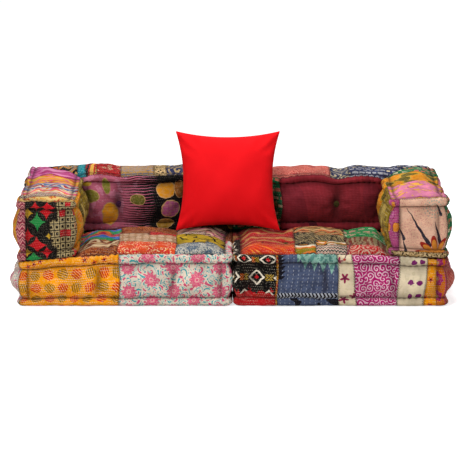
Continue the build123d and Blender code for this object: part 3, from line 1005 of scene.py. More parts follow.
def sewn_shape(points, low, high, walls, pad, tufts, seed):
    """Shape of a rolled-edge mattress, how free each point is to puff out, how much shade
    is painted on it in creases, along stitches and round tufts, its way to the nearest
    stitching and its place along it."""
    low, high = np.array(low), np.array(high)
    z = points[:, 2]
    x, y, out_x, out_y, inset, facing_x, faces = rounded_plan(points, low, high)
    edge_x, edge_y = x + out_x * inset, y + out_y * inset
    on_edge = inset < thinnest
    along = np.where(facing_x, points[:, 1], points[:, 0])
    start = np.where(facing_x, low[1], low[0])
    end = np.where(facing_x, high[1], high[0])
    from_end = np.minimum(along - start, end - along)
    middle = (low[2] + high[2]) / 2
    swell, pinch, fold, drawn, to_stitch = creased_walls(faces, along, z, middle, walls, seed)

    rise = np.clip((z - low[2] - roll) / (high[2] - low[2] - 2 * roll), 0.0, 1.0)
    belly = np.sin(math.pi * rise) ** 0.72
    fullness = 1.0 - fade(np.clip(from_end - corner_crease, 0.0, None), 0.03)
    corner_swell = 0.006 * np.clip(1.0 - from_end / corner_crease, 0.0, 1.0) ** 0.5
    crease_gap = np.abs(from_end - corner_crease)
    groove = 0.0105 * bell(crease_gap, 0.0055)
    uneven = lumps(along, z, seed, 0.16) * 0.0032 + lumps(along, z * 0.4, seed + 3, 0.05) * 0.0016
    bulge = belly * (swell * fullness + corner_swell - pinch - groove + uneven * fullness)
    wall_inset = stitch_in * (1.0 - belly) - bulge
    new_x, new_y, new_z = edge_x - out_x * wall_inset, edge_y - out_y * wall_inset, z.copy()
    stitched = np.minimum(z - low[2] - roll, high[2] - roll - z)
    on_wall = on_edge & (stitched > -thinnest)
    # Painted shade in the corner creases and along the roll stitching, on the walls only.
    fold = np.maximum(fold * belly, 0.8 * fade(crease_gap, stain_reach))
    fold = np.maximum(fold, 0.95 * fade(np.clip(stitched, 0, None), stain_reach))
    fold = np.where(on_wall, fold, 0.0)
    to_stitch = np.where(on_wall, np.minimum(np.minimum(to_stitch, stitched), crease_gap), inset - roll)

    gathers = np.sin(along * 2 * math.pi / gather_gap + seed + 1.5 * np.sin(along * 31))
    pucker = 1.0 + 0.09 * gathers + 0.10 * lumps(edge_x, edge_y, seed + 7, 0.09) - 0.14 * drawn
    nod = 0.0036 * lumps(edge_x, edge_y, seed + 8, 0.22) + 0.0022 * lumps(edge_x, edge_y, seed + 9, 0.07)
    if low[2] < 0.1:
        nod = nod + 0.0065 * step_up(-edge_y, 0.18, 0.30)
    nod = nod - 0.0065 * drawn
    lead = 0.0022 * lumps(edge_x, edge_y, seed + 10, 0.18) - 0.0045 * drawn
    tuft_gap = np.full_like(x, far)
    for tuft_x, tuft_y in tufts:
        tuft_gap = np.minimum(tuft_gap, np.hypot(x - tuft_x, y - tuft_y))
    for top in (False, True):
        height = (high[2] - z) if top else (z - low[2])
        on_face = np.abs(height) < thinnest
        path = np.where(on_face, 1.0 + inset / roll, 1.0 - height / roll)
        in_roll = (height < roll + thinnest) & (path < 2.0 + thinnest) & (on_edge | on_face)
        turn = np.radians(roll_start + roll_turn * path / 2.0)
        size = roll_round * (pucker if top else 1.0 + 0.5 * (pucker - 1.0))
        size = np.where((path > 0.15) & (path < 1.85), size, roll_round)
        over_roll = np.sin(math.pi * path / 2.0)
        back = roll_back - size * np.cos(turn) - lead * over_roll
        level = roll_round + least_height - size * np.sin(turn)
        lifted = high[2] - level + nod * over_roll if top else low[2] + np.maximum(level, least_height)
        ends = np.minimum(np.abs(path), np.abs(path - 2.0))
        new_x = np.where(in_roll, edge_x - out_x * back, new_x)
        new_y = np.where(in_roll, edge_y - out_y * back, new_y)
        new_z = np.where(in_roll, lifted, new_z)
        # Painted shade along the roll's stitched lines.
        fold = np.where(in_roll, 0.95 * fade(ends, 0.14), fold)
        to_stitch = np.where(in_roll, 0.004, to_stitch)
        beyond = on_face & (inset > roll + thinnest)
        new_x = np.where(beyond, x, new_x)
        new_y = np.where(beyond, y, new_y)
        if top:
            new_z = np.where(beyond, high[2] - flat_cloth + pad(x, y), new_z)
            # Painted shade along the inner edge of the top roll and round each tuft.
            dark = 0.7 * fade(np.clip(inset - roll, 0, None), 0.005)
            fold = np.where(beyond, np.maximum(dark, 0.85 * fade(tuft_gap, tuft_stain)), fold)
        else:
            under_tuft = under_tuft_deep * bell(tuft_gap, under_tuft_wide)
            new_z = np.where(beyond, low[2] + flat_cloth + under_tuft, new_z)

    off_stitch = np.minimum(np.abs(z - low[2] - roll), np.abs(high[2] - roll - z))
    waver = 0.0032 * lumps(along, along * 0.3, seed + 12, 0.11) * bell(off_stitch, 0.015)
    new_z = new_z + np.where(on_edge, waver * step_up(from_end, 0.0, corner_crease), 0.0)
    free_wall = on_edge * belly * step_up(from_end, corner_crease, corner_crease + 0.02)
    on_top = (np.abs(high[2] - z) < thinnest) & (inset > roll)
    free_top = on_top * np.clip(pad(x, y) / 0.008, 0.0, 1.0)
    free = np.maximum(free_wall, free_top) * np.clip(1.0 - fold * 1.4, 0.0, 1.0)
    return np.stack([new_x, new_y, new_z], 1), free, fold, np.clip(to_stitch, 0.0, None), along


def puff(piece, room, spare=0.03):
    """Blows the sewn cover up like cloth over wadding, held along its stitches."""
    sewn = points_of(piece)
    free = marks_of(piece, "free")
    held = piece.vertex_groups.new(name="held")
    for index in np.nonzero(free < 0.12)[0]:
        held.add([int(index)], 1.0, "REPLACE")
    pick(piece)
    cover = piece.modifiers.new("cover", "CLOTH")
    cloth = cover.settings
    cloth.quality = 4
    cloth.mass = 0.25
    cloth.tension_stiffness = 12.0
    cloth.compression_stiffness = 8.0
    cloth.shear_stiffness = 4.0
    cloth.bending_stiffness = 0.1
    cloth.vertex_group_mass = "held"
    cloth.use_pressure = True
    cloth.uniform_pressure_force = 3.0
    cloth.shrink_min = -spare
    cloth.effector_weights.gravity = 0.0
    for step in range(1, blow_steps + 1):
        scene.frame_set(step)
    bpy.ops.object.modifier_apply(modifier=cover.name)
    scene.frame_set(1)
    move = points_of(piece) - sewn
    length = np.linalg.norm(move, axis=1, keepdims=True)
    share = room / np.maximum(room + length, 1e-9)
    set_points(piece, sewn + move * share * np.clip(free, 0.0, 1.0)[:, None])
    piece.vertex_groups.clear()


def gather(piece, amount, seed):
    """Draws small puckers across every stitched line of a finished cover."""
    points, normals = points_of(piece), points_of(piece, "normal")
    to_stitch = marks_of(piece, "to_stitch").astype(np.float64)
    run = marks_of(piece, "run").astype(np.float64)
    wander = 1.6 * np.sin(run * 23 + seed) + 1.1 * np.sin(run * 57 + 2 * seed)
    strength = 0.6 + 0.4 * np.sin(run * 19 + seed * 3)
    pucker = np.sin(run * 2 * math.pi / pucker_gap + wander) * fade(to_stitch, 0.013) * strength
    x, y, z = points.T
    crumple = lumps(x + y * 0.7, z * 1.3 + y, seed + 5, 0.034)
    move = amount * pucker + 0.0011 * crumple * step_up(to_stitch, 0.003, 0.02)
    move = np.where((normals[:, 2] < -0.5) & (z < 0.03), 0.0, move)
    set_points(piece, points + normals * move[:, None])


def finish_cover(piece, nodes, body, puckers=0.0, seed=0):
    pick(piece)
    finer = piece.modifiers.new("smooth", "SUBSURF")
    finer.levels = 1
    finer.render_levels = 1
    bpy.ops.object.modifier_apply(modifier=finer.name)
    if puckers:
        gather(piece, puckers, seed)
    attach(piece, body)
    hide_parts(*nodes)


def finish_mattress(piece, name, seed):
    """Finishes the cover of a module's seat, arm or back."""
    nodes = [f"{name}_{node_name}" for node_name in cover_nodes]
    finish_cover(piece, nodes, name.split("_")[0] + "_module", puckers=0.0022, seed=seed)


cover_nodes = (
    "base_cloth",
    "bottom_rolled_edge",
    "side_band",
    "top_rolled_edge",
    "top_panel",
    "filling",
    "tuft_cords",
)

seat_outer = 0.690
seat_inner = 0.006
seat_front = -0.340
seat_rear = 0.340
seat_tall = 0.160
arm_inner = 0.500
back_front = 0.150
bolster_low = 0.1602
bolster_high = 0.348
tuft_rows = (-0.118, 0.042)
seat_tufts = {-1.0: (0.186, 0.398), 1.0: (0.174, 0.382)}
front_creases = {-1.0: (0.192, 0.434), 1.0: (0.056, 0.293, 0.512)}
side_creases = (-0.118, 0.042, 0.200)
rear_creases = (0.175, 0.370, 0.540)
cushion_ear = {-1.0: (-0.187, 0.062), 1.0: (0.155, 0.062)}
ear_wide = 0.034


def seat_top_height(side):
    """Height of the quilted seat above its flat cloth, dipping at the tufts and under the
    corners of the loose cushion."""

    def height(x, y):
        inward = x * side
        gaps = [inward - seat_inner - roll, arm_inner - 0.002 - inward]
        gaps += [y - seat_front - roll, back_front - 0.002 - y]
        gap = np.clip(np.minimum.reduce(gaps), 0.0, None)
        inside = gap > 0
        value = 0.0262 * (1.0 - fade(gap, 0.020))
        for row in tuft_rows:
            value = value - 0.0055 * fade(np.abs(y - row), 0.020) * inside
            for column in seat_tufts[side]:
                radius = np.hypot(inward - column, y - row)
                turn = np.arctan2(y - row, inward - column)
                value = value - 0.0135 * fade(radius, 0.022) - pleats(radius, turn, 8, 0.0015)
        for column in seat_tufts[side]:
            value = value - 0.0075 * fade(np.abs(inward - column), 0.024) * inside
        value = value + lumps(x, y, 5 if side < 0 else 9, 0.13) * 0.0032 * step_up(gap, 0.0, 0.03)
        if side < 0:
            value = value * (1.0 - 0.38 * step_up(inward, 0.33, 0.44) * step_up(y, -0.06, 0.06))
        ear_x, ear_y = cushion_ear[side]
        from_ear = (x - ear_x) ** 2 + (y - ear_y) ** 2
        value = value - 0.012 * np.exp(-(from_ear / (2 * ear_wide**2)))
        return np.clip(value, 0.0, None)

    return height


def settle(points, side):
    """Lets the module sink under its arm, press on its neighbour and stand unevenly."""
    points = points.copy()
    inward = points[:, 0] * side
    y, z = points[:, 1], points[:, 2]
    sink = (0.025 if side < 0 else 0.014) * step_up(inward, 0.36, 0.72)
    sink = sink * (1.0 - 0.6 * step_up(y, seat_front, 0.1))
    low_share = np.clip(z / seat_tall, 0.0, 1.0) ** 1.4
    high_share = np.clip((z - seat_tall) / (bolster_high - seat_tall), 0.0, 1.0)
    front_rise = -0.0115 if side < 0 else -0.0045
    rear_rise = 0.009 if side < 0 else 0.005
    along = step_up(y, seat_front, 0.30)
    over_arm = front_rise * (1.0 - along) + rear_rise * along + 0.003 * np.sin(inward * 21 + side)
    change = -sink * low_share * (1.0 - high_share) + over_arm * high_share
    z += change + 0.0085 * low_share * step_up(-y, 0.16, 0.31)
    wave = 0.72 + 0.28 * np.sin(y * 2 * math.pi / 0.21 + 0.8) * np.cos(z * 15)
    press = (0.0062 * wave + 0.014 * step_up(y, 0.02, 0.16)) * fade(inward - seat_inner, 0.05)
    points[:, 0] = np.clip(inward - press, 0.0003, None) * side
    points[:, 2] = np.clip(z, 0.0002, None)
    return points


def strip(*patches):
    """One row of patches, given as end place and cloth in turn."""
    return list(zip(patches[::2], patches[1::2]))


def one_row(*patches):
    return [(far, strip(*patches))]


def side_by_side(*patches):
    """Patches that each run right across, given as end place and cloth in turn."""
    return [(limit, [(far, name)]) for limit, name in strip(*patches)]


left_seat_cloth = {
    "front": [
        (0.134, strip(-0.362, "marigold_ring_dots", far, "rose_scrolls")),
        (far, strip(-0.362, "marigold_sprigs", far, "rose_scrolls")),
    ],
    "left": one_row(-0.05, "pale_scrolls", 0.16, "cream_poppies", far, "orchid_waves"),
    "rear": one_row(-0.48, "burgundy", -0.23, "marigold_ring_dots", far, "slate_paisley"),
    "right": one_row(-0.02, "rose_scrolls", far, "rust_print"),
    "under": one_row(far, "calico"),
    "top": [
        (-0.372, strip(-0.275, "rust_print", -0.1, "cream_strata", far, "rainbow_bands")),
        (-0.266, strip(-0.185, "red_blossoms", -0.03, "beige_rings", far, "rust_print")),
        (-0.185, strip(
            -0.185, "red_blossoms", -0.055, "beige_rings", 0.03, "scarlet_plain",
            far, "rust_print",
        )),
        (-0.1, strip(
            -0.23, "slate_paisley", -0.04, "mustard_trees", 0.03, "hatched", far, "blush_arcs",
        )),
        (far, strip(-0.2, "slate_paisley", -0.06, "mustard_trees", far, "blush_arcs")),
    ],
}
right_seat_cloth = {
    "front": one_row(
        0.14, "black_ikat", 0.1435, "marigold_ring_dots", 0.338, "denim_running_stitch",
        0.389, "cream_marks", 0.53, "magenta_curls", 0.618, "cream_buds",
        0.652, "marigold_sprigs", far, "orange_ringed_flowers",
    ),
    "right": one_row(-0.08, "salmon_speckle", 0.13, "pink_splash", far, "green_dashes"),
    "rear": one_row(0.24, "red_floral", 0.45, "navy_dashes", far, "cream_poppies"),
    "left": one_row(0.01, "black_ikat", far, "red_arcs"),
    "under": one_row(far, "calico"),
    "top": [
        (0.1, strip(-0.2, "ember_feathers", far, "red_arcs")),
        (0.195, strip(-0.235, "ember_feathers", far, "red_arcs")),
        (0.262, strip(-0.26, "olive_bands", -0.01, "ink_strokes", far, "sand_bands")),
        (0.375, strip(
            -0.27, "hatched", -0.19, "olive_bands", -0.05, "ink_strokes", far, "sand_bands",
        )),
        (far, strip(-0.25, "red_rings", -0.07, "brown_stripes", far, "green_dashes")),
    ],
}
seat_cloths = {"left": left_seat_cloth, "right": right_seat_cloth}


def seams_of(layout, sides):
    return [limit for side in sides for _, row in layout[side] for limit, _ in row if limit < far]


def row_marks(layout, sides):
    return [limit for side in sides for limit, _ in layout[side] if limit < far]


def edge_marks(low, high, ways):
    """The same ways in from both ends."""
    marks = [low + way for way in ways]
    return marks + [low + high - mark for mark in marks]


def sewn_mattress(name, low, high, layout, walls, pad, pins, tufts, seed, roll_in=roll):
    """Cut, patched and shaped mattress cover, ready to be blown up."""
    ways = (corner_fillet, corner_round, roll, corner_crease, past_crease)
    marks_x = edge_marks(low[0], high[0], ways) + list(pins[0])
    marks_x += seams_of(layout, ("front", "rear")) + row_marks(layout, ("top",))
    marks_y = edge_marks(low[1], high[1], ways) + list(pins[1])
    marks_y += seams_of(layout, ("left", "right", "top"))
    shares = (0.2, 0.4, 0.6, 0.8, 1.0, 1.2)
    roll_marks = edge_marks(low[2], high[2], [share * roll for share in shares])
    rows = row_marks(layout, ("front", "rear", "left", "right"))
    middle = cut_stops(low[2] + roll * shares[-1], high[2] - roll * shares[-1], rows, grid_step)
    stops = [
        cut_stops(low[0], high[0], marks_x, grid_step),
        cut_stops(low[1], high[1], marks_y, grid_step),
        sorted({round(mark, 5) for mark in (*middle, *roll_marks)}),
    ]
    piece = cut_box(name, low, high, stops)
    lay_cloth(piece, layout, low, high, roll_in)
    leaning = slant(points_of(piece), low, high, seed)
    shaped, free, fold, to_stitch, run = sewn_shape(leaning, low, high, walls, pad, tufts, seed)
    mark_points(piece, free=free, fold=fold, to_stitch=to_stitch, run=run)
    set_points(piece, shaped)
    return piece


button_round = 0.0112
button_thick = 0.0052
button_proud = 0.002
cotton("button_plum", speckled, 0.02, "3a1a34 241020 4f2848 2c1428", thread=0.0)
cotton("button_olive", speckled, 0.02, "3c3418 241f0e 57491f 2f2812", thread=0.0)
button_cloths = {-1.0: "button_plum", 1.0: "button_olive"}


def covered_buttons(name, places, side):
    """One piece with a pleated, cloth-covered button at each place, facing outward."""
    made = []
    for number, (place, outward) in enumerate(places):
        bpy.ops.object.select_all(action="DESELECT")
        bpy.ops.mesh.primitive_uv_sphere_add(segments=36, ring_count=16, radius=1.0)
        button = bpy.context.object
        button.data.uv_layers[0].name = "cloth"
        for loop in button.data.uv_layers[0].data:
            loop.uv = (loop.uv[0] * 0.07, loop.uv[1] * 0.035)
        ball = points_of(button)
        reach = np.hypot(ball[:, 0], ball[:, 1])
        pleat = 0.045 * np.sin(np.arctan2(ball[:, 1], ball[:, 0]) * 11 + number) * reach
        hollow = 0.0012 * bell(reach, 0.25) * (ball[:, 2] > 0)
        outward = np.array(outward, dtype=float)
        side_way = np.cross(outward, (0.0, 0.0, 1.0) if abs(outward[2]) < 0.9 else (0.0, 1.0, 0.0))
        up_way = np.cross(outward, side_way)
        flat = ball[:, :2] * button_round * (1 + pleat)[:, None]
        rise = ball[:, 2:] * button_thick - hollow[:, None]
        turned = flat[:, :1] * side_way + flat[:, 1:] * up_way + rise * outward
        set_points(button, turned + np.array(place))
        smooth_faces(button)
        button.data.materials.append(cottons[button_cloths[side]])
        made.append(button)
    pick(*made)
    bpy.ops.object.join()
    buttons = bpy.context.object
    buttons.name = name
    bpy.ops.object.transform_apply(location=True, rotation=True, scale=True)
    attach(buttons, name.split("_")[0] + "_module")
    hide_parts(name)


def surface_at(piece, place, way):
    """Point where a line through place, against the way, first meets the piece."""
    far_off = [place[axis] + way[axis] * 0.2 for axis in range(3)]
    back_way = [-part for part in way]
    hit, point, _, _ = piece.ray_cast(far_off, back_way)
    return np.array(point if hit else place)


modules = ((-1.0, "left", "right", "left"), (1.0, "right", "left", "right"))
for side, word, inner_side, outer_side in modules:
    ends = sorted((side * seat_inner, side * seat_outer))
    front_pins = [side * pin for pin in front_creases[side]]
    rear_pins = [side * pin for pin in rear_creases]
    tufts = [(side * column, row) for column in seat_tufts[side] for row in tuft_rows]
    walls = {
        "front": (0.009, front_pins, False),
        "rear": (0.017, rear_pins, False),
        outer_side: (0.030, side_creases, False),
        inner_side: (0.004, side_creases, False),
    }
    pins_x = [*front_pins, *[column for column, _ in tufts], side * arm_inner]
    seat = sewn_mattress(
        f"{word}_seat_mattress",
        (ends[0], seat_front, 0.0),
        (ends[1], seat_rear, seat_tall),
        seat_cloths[word],
        walls,
        seat_top_height(side),
        (pins_x, [*tuft_rows, side_creases[-1], back_front]),
        tufts,
        3 if side < 0 else 4,
    )
    puff(seat, 0.006)
    set_points(seat, settle(points_of(seat), side))
    finish_mattress(seat, f"{word}_seat", 3)
    places = []
    for column, row in tufts:
        top_point = surface_at(seat, (column, row, seat_tall), (0, 0, 1))
        places.append((top_point + (0.0, 0.0, button_proud), (0, 0, 1)))
        places.append(((column, row, 0.0115), (0, 0, -1)))
    covered_buttons(f"{word}_seat_tuft_buttons", places, side)


# Tassel
# A maroon cotton tail of the right seat's front tuft lies over the quilting and hangs over
# the front edge, with a red glass bead knotted on its end.
tassel_wide = 0.0034
tassel_way = (
    (0.380, -0.124),
    (0.377, -0.165),
    (0.383, -0.205),
    (0.377, -0.245),
    (0.374, -0.285),
    (0.366, -0.316),
)
tassel_hang = ((0.362, -0.334, 0.166), (0.358, -0.342, 0.158))
bead_drop = (-0.001, -0.0035, -0.0025)
bead_round = 0.0052

right_seat = bpy.data.objects["right_seat_mattress"]
tassel_points = []
for x, y in tassel_way:
    spot = surface_at(right_seat, (x, y, seat_tall), (0, 0, 1))
    tassel_points.append((x, y, spot[2] + tassel_wide * 0.6))
shoulder = np.array((0.0, -math.sqrt(0.5), math.sqrt(0.5)))
for place in tassel_hang:
    spot = surface_at(right_seat, place, shoulder)
    tassel_points.append(tuple(spot + shoulder * tassel_wide * 0.7))
tassel_line = bpy.data.curves.new("right_seat_tassel", "CURVE")
tassel_line.dimensions = "3D"
tassel_line.bevel_depth = tassel_wide / 2
tassel_line.bevel_resolution = 3
tassel_line.resolution_u = 12
tassel_line.use_fill_caps = True
spline = tassel_line.splines.new("NURBS")
spline.points.add(len(tassel_points) - 1)
for knot, spot in zip(spline.points, tassel_points):
    knot.co = (*spot, 1.0)
spline.order_u = 3
spline.use_endpoint_u = True
tassel = bpy.data.objects.new("right_seat_tassel", tassel_line)
scene.collection.objects.link(tassel)

tassel_yarn, yarn_tree, yarn_shader = new_material("tassel_yarn", {"Roughness": 0.8})
yarn_x, yarn_y, yarn_z = split(source(yarn_tree, "ShaderNodeTexCoord", "Object"))
yarn_twist = ((yarn_x + (yarn_y + yarn_z)) * 2600.0).sine()
dress(yarn_shader, over(yarn_twist > 0.3, dye("5c1230"), dye("8a2c4c")), yarn_twist, 0.5, 0.0008)
tassel_line.materials.append(tassel_yarn)

bpy.ops.object.select_all(action="DESELECT")
bpy.ops.mesh.primitive_uv_sphere_add(segments=32, ring_count=16, radius=bead_round)
bead = bpy.context.object
bead.name = "right_seat_tassel_bead"
ball = points_of(bead)
waist = 1.0 - 0.12 * np.abs(ball[:, 2] / bead_round) ** 3
squash = np.stack([waist, waist, np.full(len(ball), 0.78)], 1)
set_points(bead, ball * squash + np.array(tassel_points[-1]) + bead_drop)
smooth_faces(bead)
glass, glass_tree, glass_shader = new_material("red_glass_bead", {"Roughness": 0.22})
swirl = noise(source(glass_tree, "ShaderNodeTexCoord", "Object"), 420.0)
over(swirl, dye("7c1710"), dye("b8402c")).into(glass_shader.inputs["Base Color"])
bead.data.materials.append(glass)
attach(tassel, "right_module")
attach(bead, "right_module")


# Arm and back bolsters
# Each seat carries an L-shaped bolster, sewn from the same pieced cottons and mitred at
# the outer rear corner. It is tufted through from face to face with covered buttons.
arm_tufts = (-0.165, 0.005)
back_tufts = {-1.0: (0.158, 0.381), 1.0: (0.146, 0.351)}
bolster_roll_in = 0.0111


def crown_height(low, high, seed):
    def height(x, y):
        gaps = [x - low[0] - roll, high[0] - roll - x, y - low[1] - roll, high[1] - roll - y]
        gap = np.clip(np.minimum.reduce(gaps), 0.0, None)
        swell = 0.0135 * (1.0 - fade(gap, 0.02))
        return swell + lumps(x, y, seed, 0.1) * 0.0034 * step_up(gap, 0.0, 0.03)

    return height


def draw_down(points, tufts, axis, depth):
    """Lets the bolster's top dip where its buttons draw it in."""
    share = np.clip((points[:, 2] - bolster_low) / (bolster_high - bolster_low), 0.0, 1.0)
    for tuft in tufts:
        away = np.abs(points[:, axis] - tuft)
        points[:, 2] -= depth * share**1.5 * bell(away, 0.042)
        points[:, 2] += 0.35 * depth * share**1.5 * bell(away - 0.10, 0.05)
    return points


def cut_mitre(piece, side, keep_arm):
    """Cuts a bolster along the mitre and closes it with a flat end."""
    normal = np.array((side, -1.0, 0.0)) / math.sqrt(2.0)
    if not keep_arm:
        normal = -normal
    place = (side * arm_inner, back_front, 0.0)
    pick(piece)
    bpy.ops.object.mode_set(mode="EDIT")
    bpy.ops.mesh.select_all(action="SELECT")
    bpy.ops.mesh.bisect(plane_co=place, plane_no=normal, use_fill=True, clear_inner=True)
    bpy.ops.object.mode_set(mode="OBJECT")
    points = points_of(piece)
    from_cut = (points - np.array(place)) @ normal
    free = marks_of(piece, "free") * np.clip(from_cut / 0.02, 0.0, 1.0)
    # Painted shade along the mitre.
    fold = np.maximum(marks_of(piece, "fold"), 0.8 * fade(from_cut, 0.005))
    mark_points(piece, free=free, fold=fold)
    on_top = points[:, 2] > bolster_high - 0.012
    points[:, 2] -= 0.009 * fade(from_cut, 0.009) * on_top
    set_points(piece, points)


left_arm_cloth = {
    "front": [
        (0.2, strip(-0.662, "maroon_strip", -0.566, "star_black", far, "cream_squares")),
        (0.29, strip(-0.662, "maroon_strip", -0.582, "star_black", far, "cream_squares")),
        (far, strip(-0.662, "maroon_strip", -0.56, "star_black", far, "cream_squares")),
    ],
    "left": one_row(
        -0.306, "maroon_strip", -0.19, "orange_olive", -0.02, "pink_splash",
        0.14, "black_zigzag", far, "pale_scrolls",
    ),
    "rear": one_row(far, "teal_bands"),
    "right": one_row(-0.306, "cream_squares", -0.12, "orange_olive", far, "olive_squares"),
    "under": one_row(far, "calico"),
    "top": one_row(
        -0.285, "cream_poppies", -0.215, "hatched", -0.13, "sorbet_waves", -0.03, "slate_waves",
        0.08, "honey_waves", far, "orchid_waves",
    ),
}
left_back_cloth = {
    "front": one_row(-0.16, "plum_garden", far, "dark_olive"),
    "left": one_row(far, "teal_bands"),
    "rear": one_row(-0.5, "teal_bands", -0.3, "red_floral", -0.15, "tan_dashes", far, "navy_swirl"),
    "right": one_row(far, "dark_olive"),
    "under": one_row(far, "calico"),
    "top": side_by_side(
        -0.595, "teal_bands", -0.518, "black_zigzag", -0.486, "teal_plain", -0.448, "red_rows",
        -0.371, "red_floral", -0.27, "tan_dashes", -0.228, "dotted_sand", far, "navy_swirl",
    ),
}
right_arm_cloth = {
    "front": [
        (0.171, strip(far, "dotted_sand")),
        (far, strip(0.533, "orchid_strip", far, "rosewood_lily")),
    ],
    "right": one_row(
        -0.16, "green_cream", 0.0, "salmon_speckle", 0.15, "pink_splash", far, "green_dashes",
    ),
    "rear": one_row(far, "navy_dashes"),
    "left": one_row(-0.306, "orchid_strip", -0.03, "olive_squares", far, "orange_olive"),
    "under": one_row(far, "calico"),
    "top": one_row(
        -0.06, "pink_splash", 0.12, "orange_olive", 0.26, "green_cream", far, "red_floral",
    ),
}
right_back_cloth = {
    "front": one_row(0.162, "green_cream", far, "burgundy"),
    "right": one_row(far, "navy_dashes"),
    "rear": one_row(
        0.2, "navy_dashes", 0.38, "salmon_speckle", 0.55, "green_cream", far, "burgundy",
    ),
    "left": one_row(far, "burgundy"),
    "under": one_row(far, "calico"),
    "top": side_by_side(0.331, "salmon_speckle", 0.386, "navy_pieces", far, "navy_dashes"),
}
arm_cloths = {"left": left_arm_cloth, "right": right_arm_cloth}
back_cloths = {"left": left_back_cloth, "right": right_back_cloth}


def sewn_bolster(part, side, layout, low, high, run, pins, dips, swells, seeds, button_level):
    """One arm or back. Its run is the axis that its buttons are spread along, on both long
    faces, and the last pin is where the mitre starts."""
    name = f"{'left' if side < 0 else 'right'}_{part}"
    tufted = ("front", "rear") if run == 0 else ("left", "right")
    walls = {
        wall: (swell, pins if wall in tufted else [], wall in tufted) for wall, swell in swells.items()
    }
    pad = crown_height(low, high, seeds[0])
    all_pins = (pins, []) if run == 0 else ([], pins)
    cover = f"{name}_bolster"
    piece = sewn_mattress(cover, low, high, layout, walls, pad, all_pins, [], seeds[1], bolster_roll_in)
    cut_mitre(piece, side, part == "arm")
    puff(piece, 0.005)
    set_points(piece, settle(draw_down(points_of(piece), dips[0], run, dips[1]), side))
    finish_mattress(piece, name, seeds[2])
    across = 1 - run
    first_way = -1 if run == 0 else -side
    places = []
    for tuft in pins[:-1]:
        for way in (first_way, -first_way):
            outward, start = np.zeros(3), np.array((tuft, tuft, button_level))
            outward[across] = way
            start[across] = low[across] if way < 0 else high[across]
            places.append((surface_at(piece, start, outward) + outward * button_proud, outward))
    covered_buttons(f"{name}_tuft_buttons", places, side)


for side, word, inner_side, outer_side in modules:
    left_side = side < 0
    bolster_middle = (bolster_low + bolster_high) / 2
    ends = sorted((side * arm_inner, side * seat_outer))
    sewn_bolster(
        "arm",
        side,
        arm_cloths[word],
        (ends[0], seat_front, bolster_low),
        (ends[1], seat_rear, bolster_high),
        1,
        [*arm_tufts, back_front],
        (arm_tufts, 0.004),
        {"front": 0.008, "rear": 0.010, outer_side: 0.021, inner_side: 0.020},
        (11, 21, 21) if left_side else (13, 22, 21),
        bolster_middle - 0.004,
    )
    ends = sorted((side * seat_inner, side * seat_outer))
    back_pins = [side * pin for pin in (*back_tufts[side], arm_inner)]
    sewn_bolster(
        "back",
        side,
        back_cloths[word],
        (ends[0], back_front, bolster_low),
        (ends[1], seat_rear, bolster_high),
        0,
        back_pins,
        (back_pins[1:-1], 0.006 if left_side else 0.011),
        {"front": 0.023, "rear": 0.021, outer_side: 0.010, inner_side: 0.004},
        (15, 31, 31) if left_side else (17, 32, 31),
        bolster_middle - 0.002,
    )


# Scatter cushion
# A plain red cotton cover, cut square and stuffed so full that its sides draw in and its
# corners stand out as ears. It leans back on the bolsters over the gap.
cushion_ears = 0.350
cushion_tall = 0.334
cushion_thick = 0.112
cushion_lean = math.radians(10.0)
cushion_drop = 0.0165
cushion_forward = 0.004
cushion_seam = 0.0012

bpy.ops.object.select_all(action="DESELECT")
bpy.ops.mesh.primitive_cube_add(size=1.0, location=(0.0, 0.0, 0.0))
cushion = bpy.context.object
cushion.name = "red_scatter_cushion"
cushion.scale = (2.0, 0.02, 2.0)
bpy.ops.object.transform_apply(location=True, rotation=True, scale=True)
bpy.ops.object.mode_set(mode="EDIT")
for axis in (0, 2):
    normal = [float(i == axis) for i in range(3)]
    for stop in cut_stops(-1.0, 1.0, [], 0.045):
        bpy.ops.mesh.select_all(action="SELECT")
        bpy.ops.mesh.bisect(plane_co=[stop * n for n in normal], plane_no=normal)
bpy.ops.object.mode_set(mode="OBJECT")
unit = points_of(cushion)
bolt = cushion.data.uv_layers.new(name="cloth")
for loop in cushion.data.loops:
    place = unit[loop.vertex_index]
    bolt.data[loop.index].uv = (place[0] * 0.17, place[2] * 0.17)
spread_x, spread_z = (np.sign(unit[:, axis]) * np.abs(unit[:, axis]) ** 0.9 for axis in (0, 2))
share_x, share_z = np.abs(spread_x), np.abs(spread_z)
drawn_x = 1 - 0.150 * (1 - share_z**2.1) * share_x**1.4
drawn_z = 1 - 0.125 * (1 - share_x**2.1) * share_z**1.4
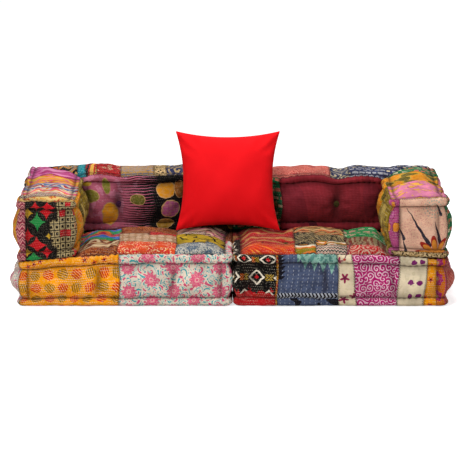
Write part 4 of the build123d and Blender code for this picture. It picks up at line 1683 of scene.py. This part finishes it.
plump = ((1 - share_x**2.2) * (1 - share_z**2.2)) ** 0.62
corner = share_x * share_z
fan = np.arctan2(share_z, share_x)
creases = 0.0030 * np.sin(fan * 26) * step_up(corner, 0.25, 0.75) * (1 - step_up(corner, 0.85, 1.0))
edge_folds = 0.0034 * np.sin(spread_x * 31 + np.sin(spread_x * 9) * 2) * fade(1 - share_z, 0.12)
edge_folds += 0.0016 * np.sin(spread_z * 27 + 1) * fade(1 - share_x, 0.1)
soft = 0.0035 * lumps(spread_x, spread_z, 77, 0.9) * plump
sag = 0.10 * spread_z * plump
depth = cushion_thick / 2 * plump * (1 - sag) + (creases + edge_folds) * (plump > 0.02) + soft
width = spread_x * drawn_x * cushion_ears / 2
front_back = np.sign(unit[:, 1]) * (depth + cushion_seam)
height = spread_z * drawn_z * cushion_tall / 2
lean_away, lean_up = math.sin(cushion_lean), math.cos(cushion_lean)
leaning_y = front_back * lean_up + height * lean_away
leaning_z = height * lean_up - front_back * lean_away
turned = np.stack([width, leaning_y, leaning_z], 1)
panels = np.array([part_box(f"cushion_{panel}_panel") for panel in ("front", "back")])
cad_middle = (panels[:, 0].min(0) + panels[:, 1].max(0)) / 2
turned += cad_middle - (turned.max(0) + turned.min(0)) / 2
turned -= (0.0, cushion_forward, cushion_drop)
set_points(cushion, turned)
smooth_faces(cushion)

plain_red = {"Roughness": 0.8, "Specular IOR Level": 0.08, "Sheen Weight": 0.02}
red_cover, red_tree, red_shader = new_material("red_cotton_cover", plain_red)
red_place = source(red_tree, "ShaderNodeUVMap", uv_map="cloth")
red_across, red_rise, _ = split(red_place)
red_noise = noise(red_place, 16.0, 3.0)
red_weave = (red_across * 6300.0).sine() + (red_rise * 6300.0).sine()
red_colour = over(red_noise, dye("dc0c14"), dye("e8121a"))
dress(red_shader, red_colour, red_weave * 0.04 + red_noise, 0.3, 0.002)
cushion.data.materials.append(red_cover)
finish_cover(
    cushion,
    ["cushion_front_panel", "cushion_back_panel", "cushion_filling"],
    "scatter_cushion",
)
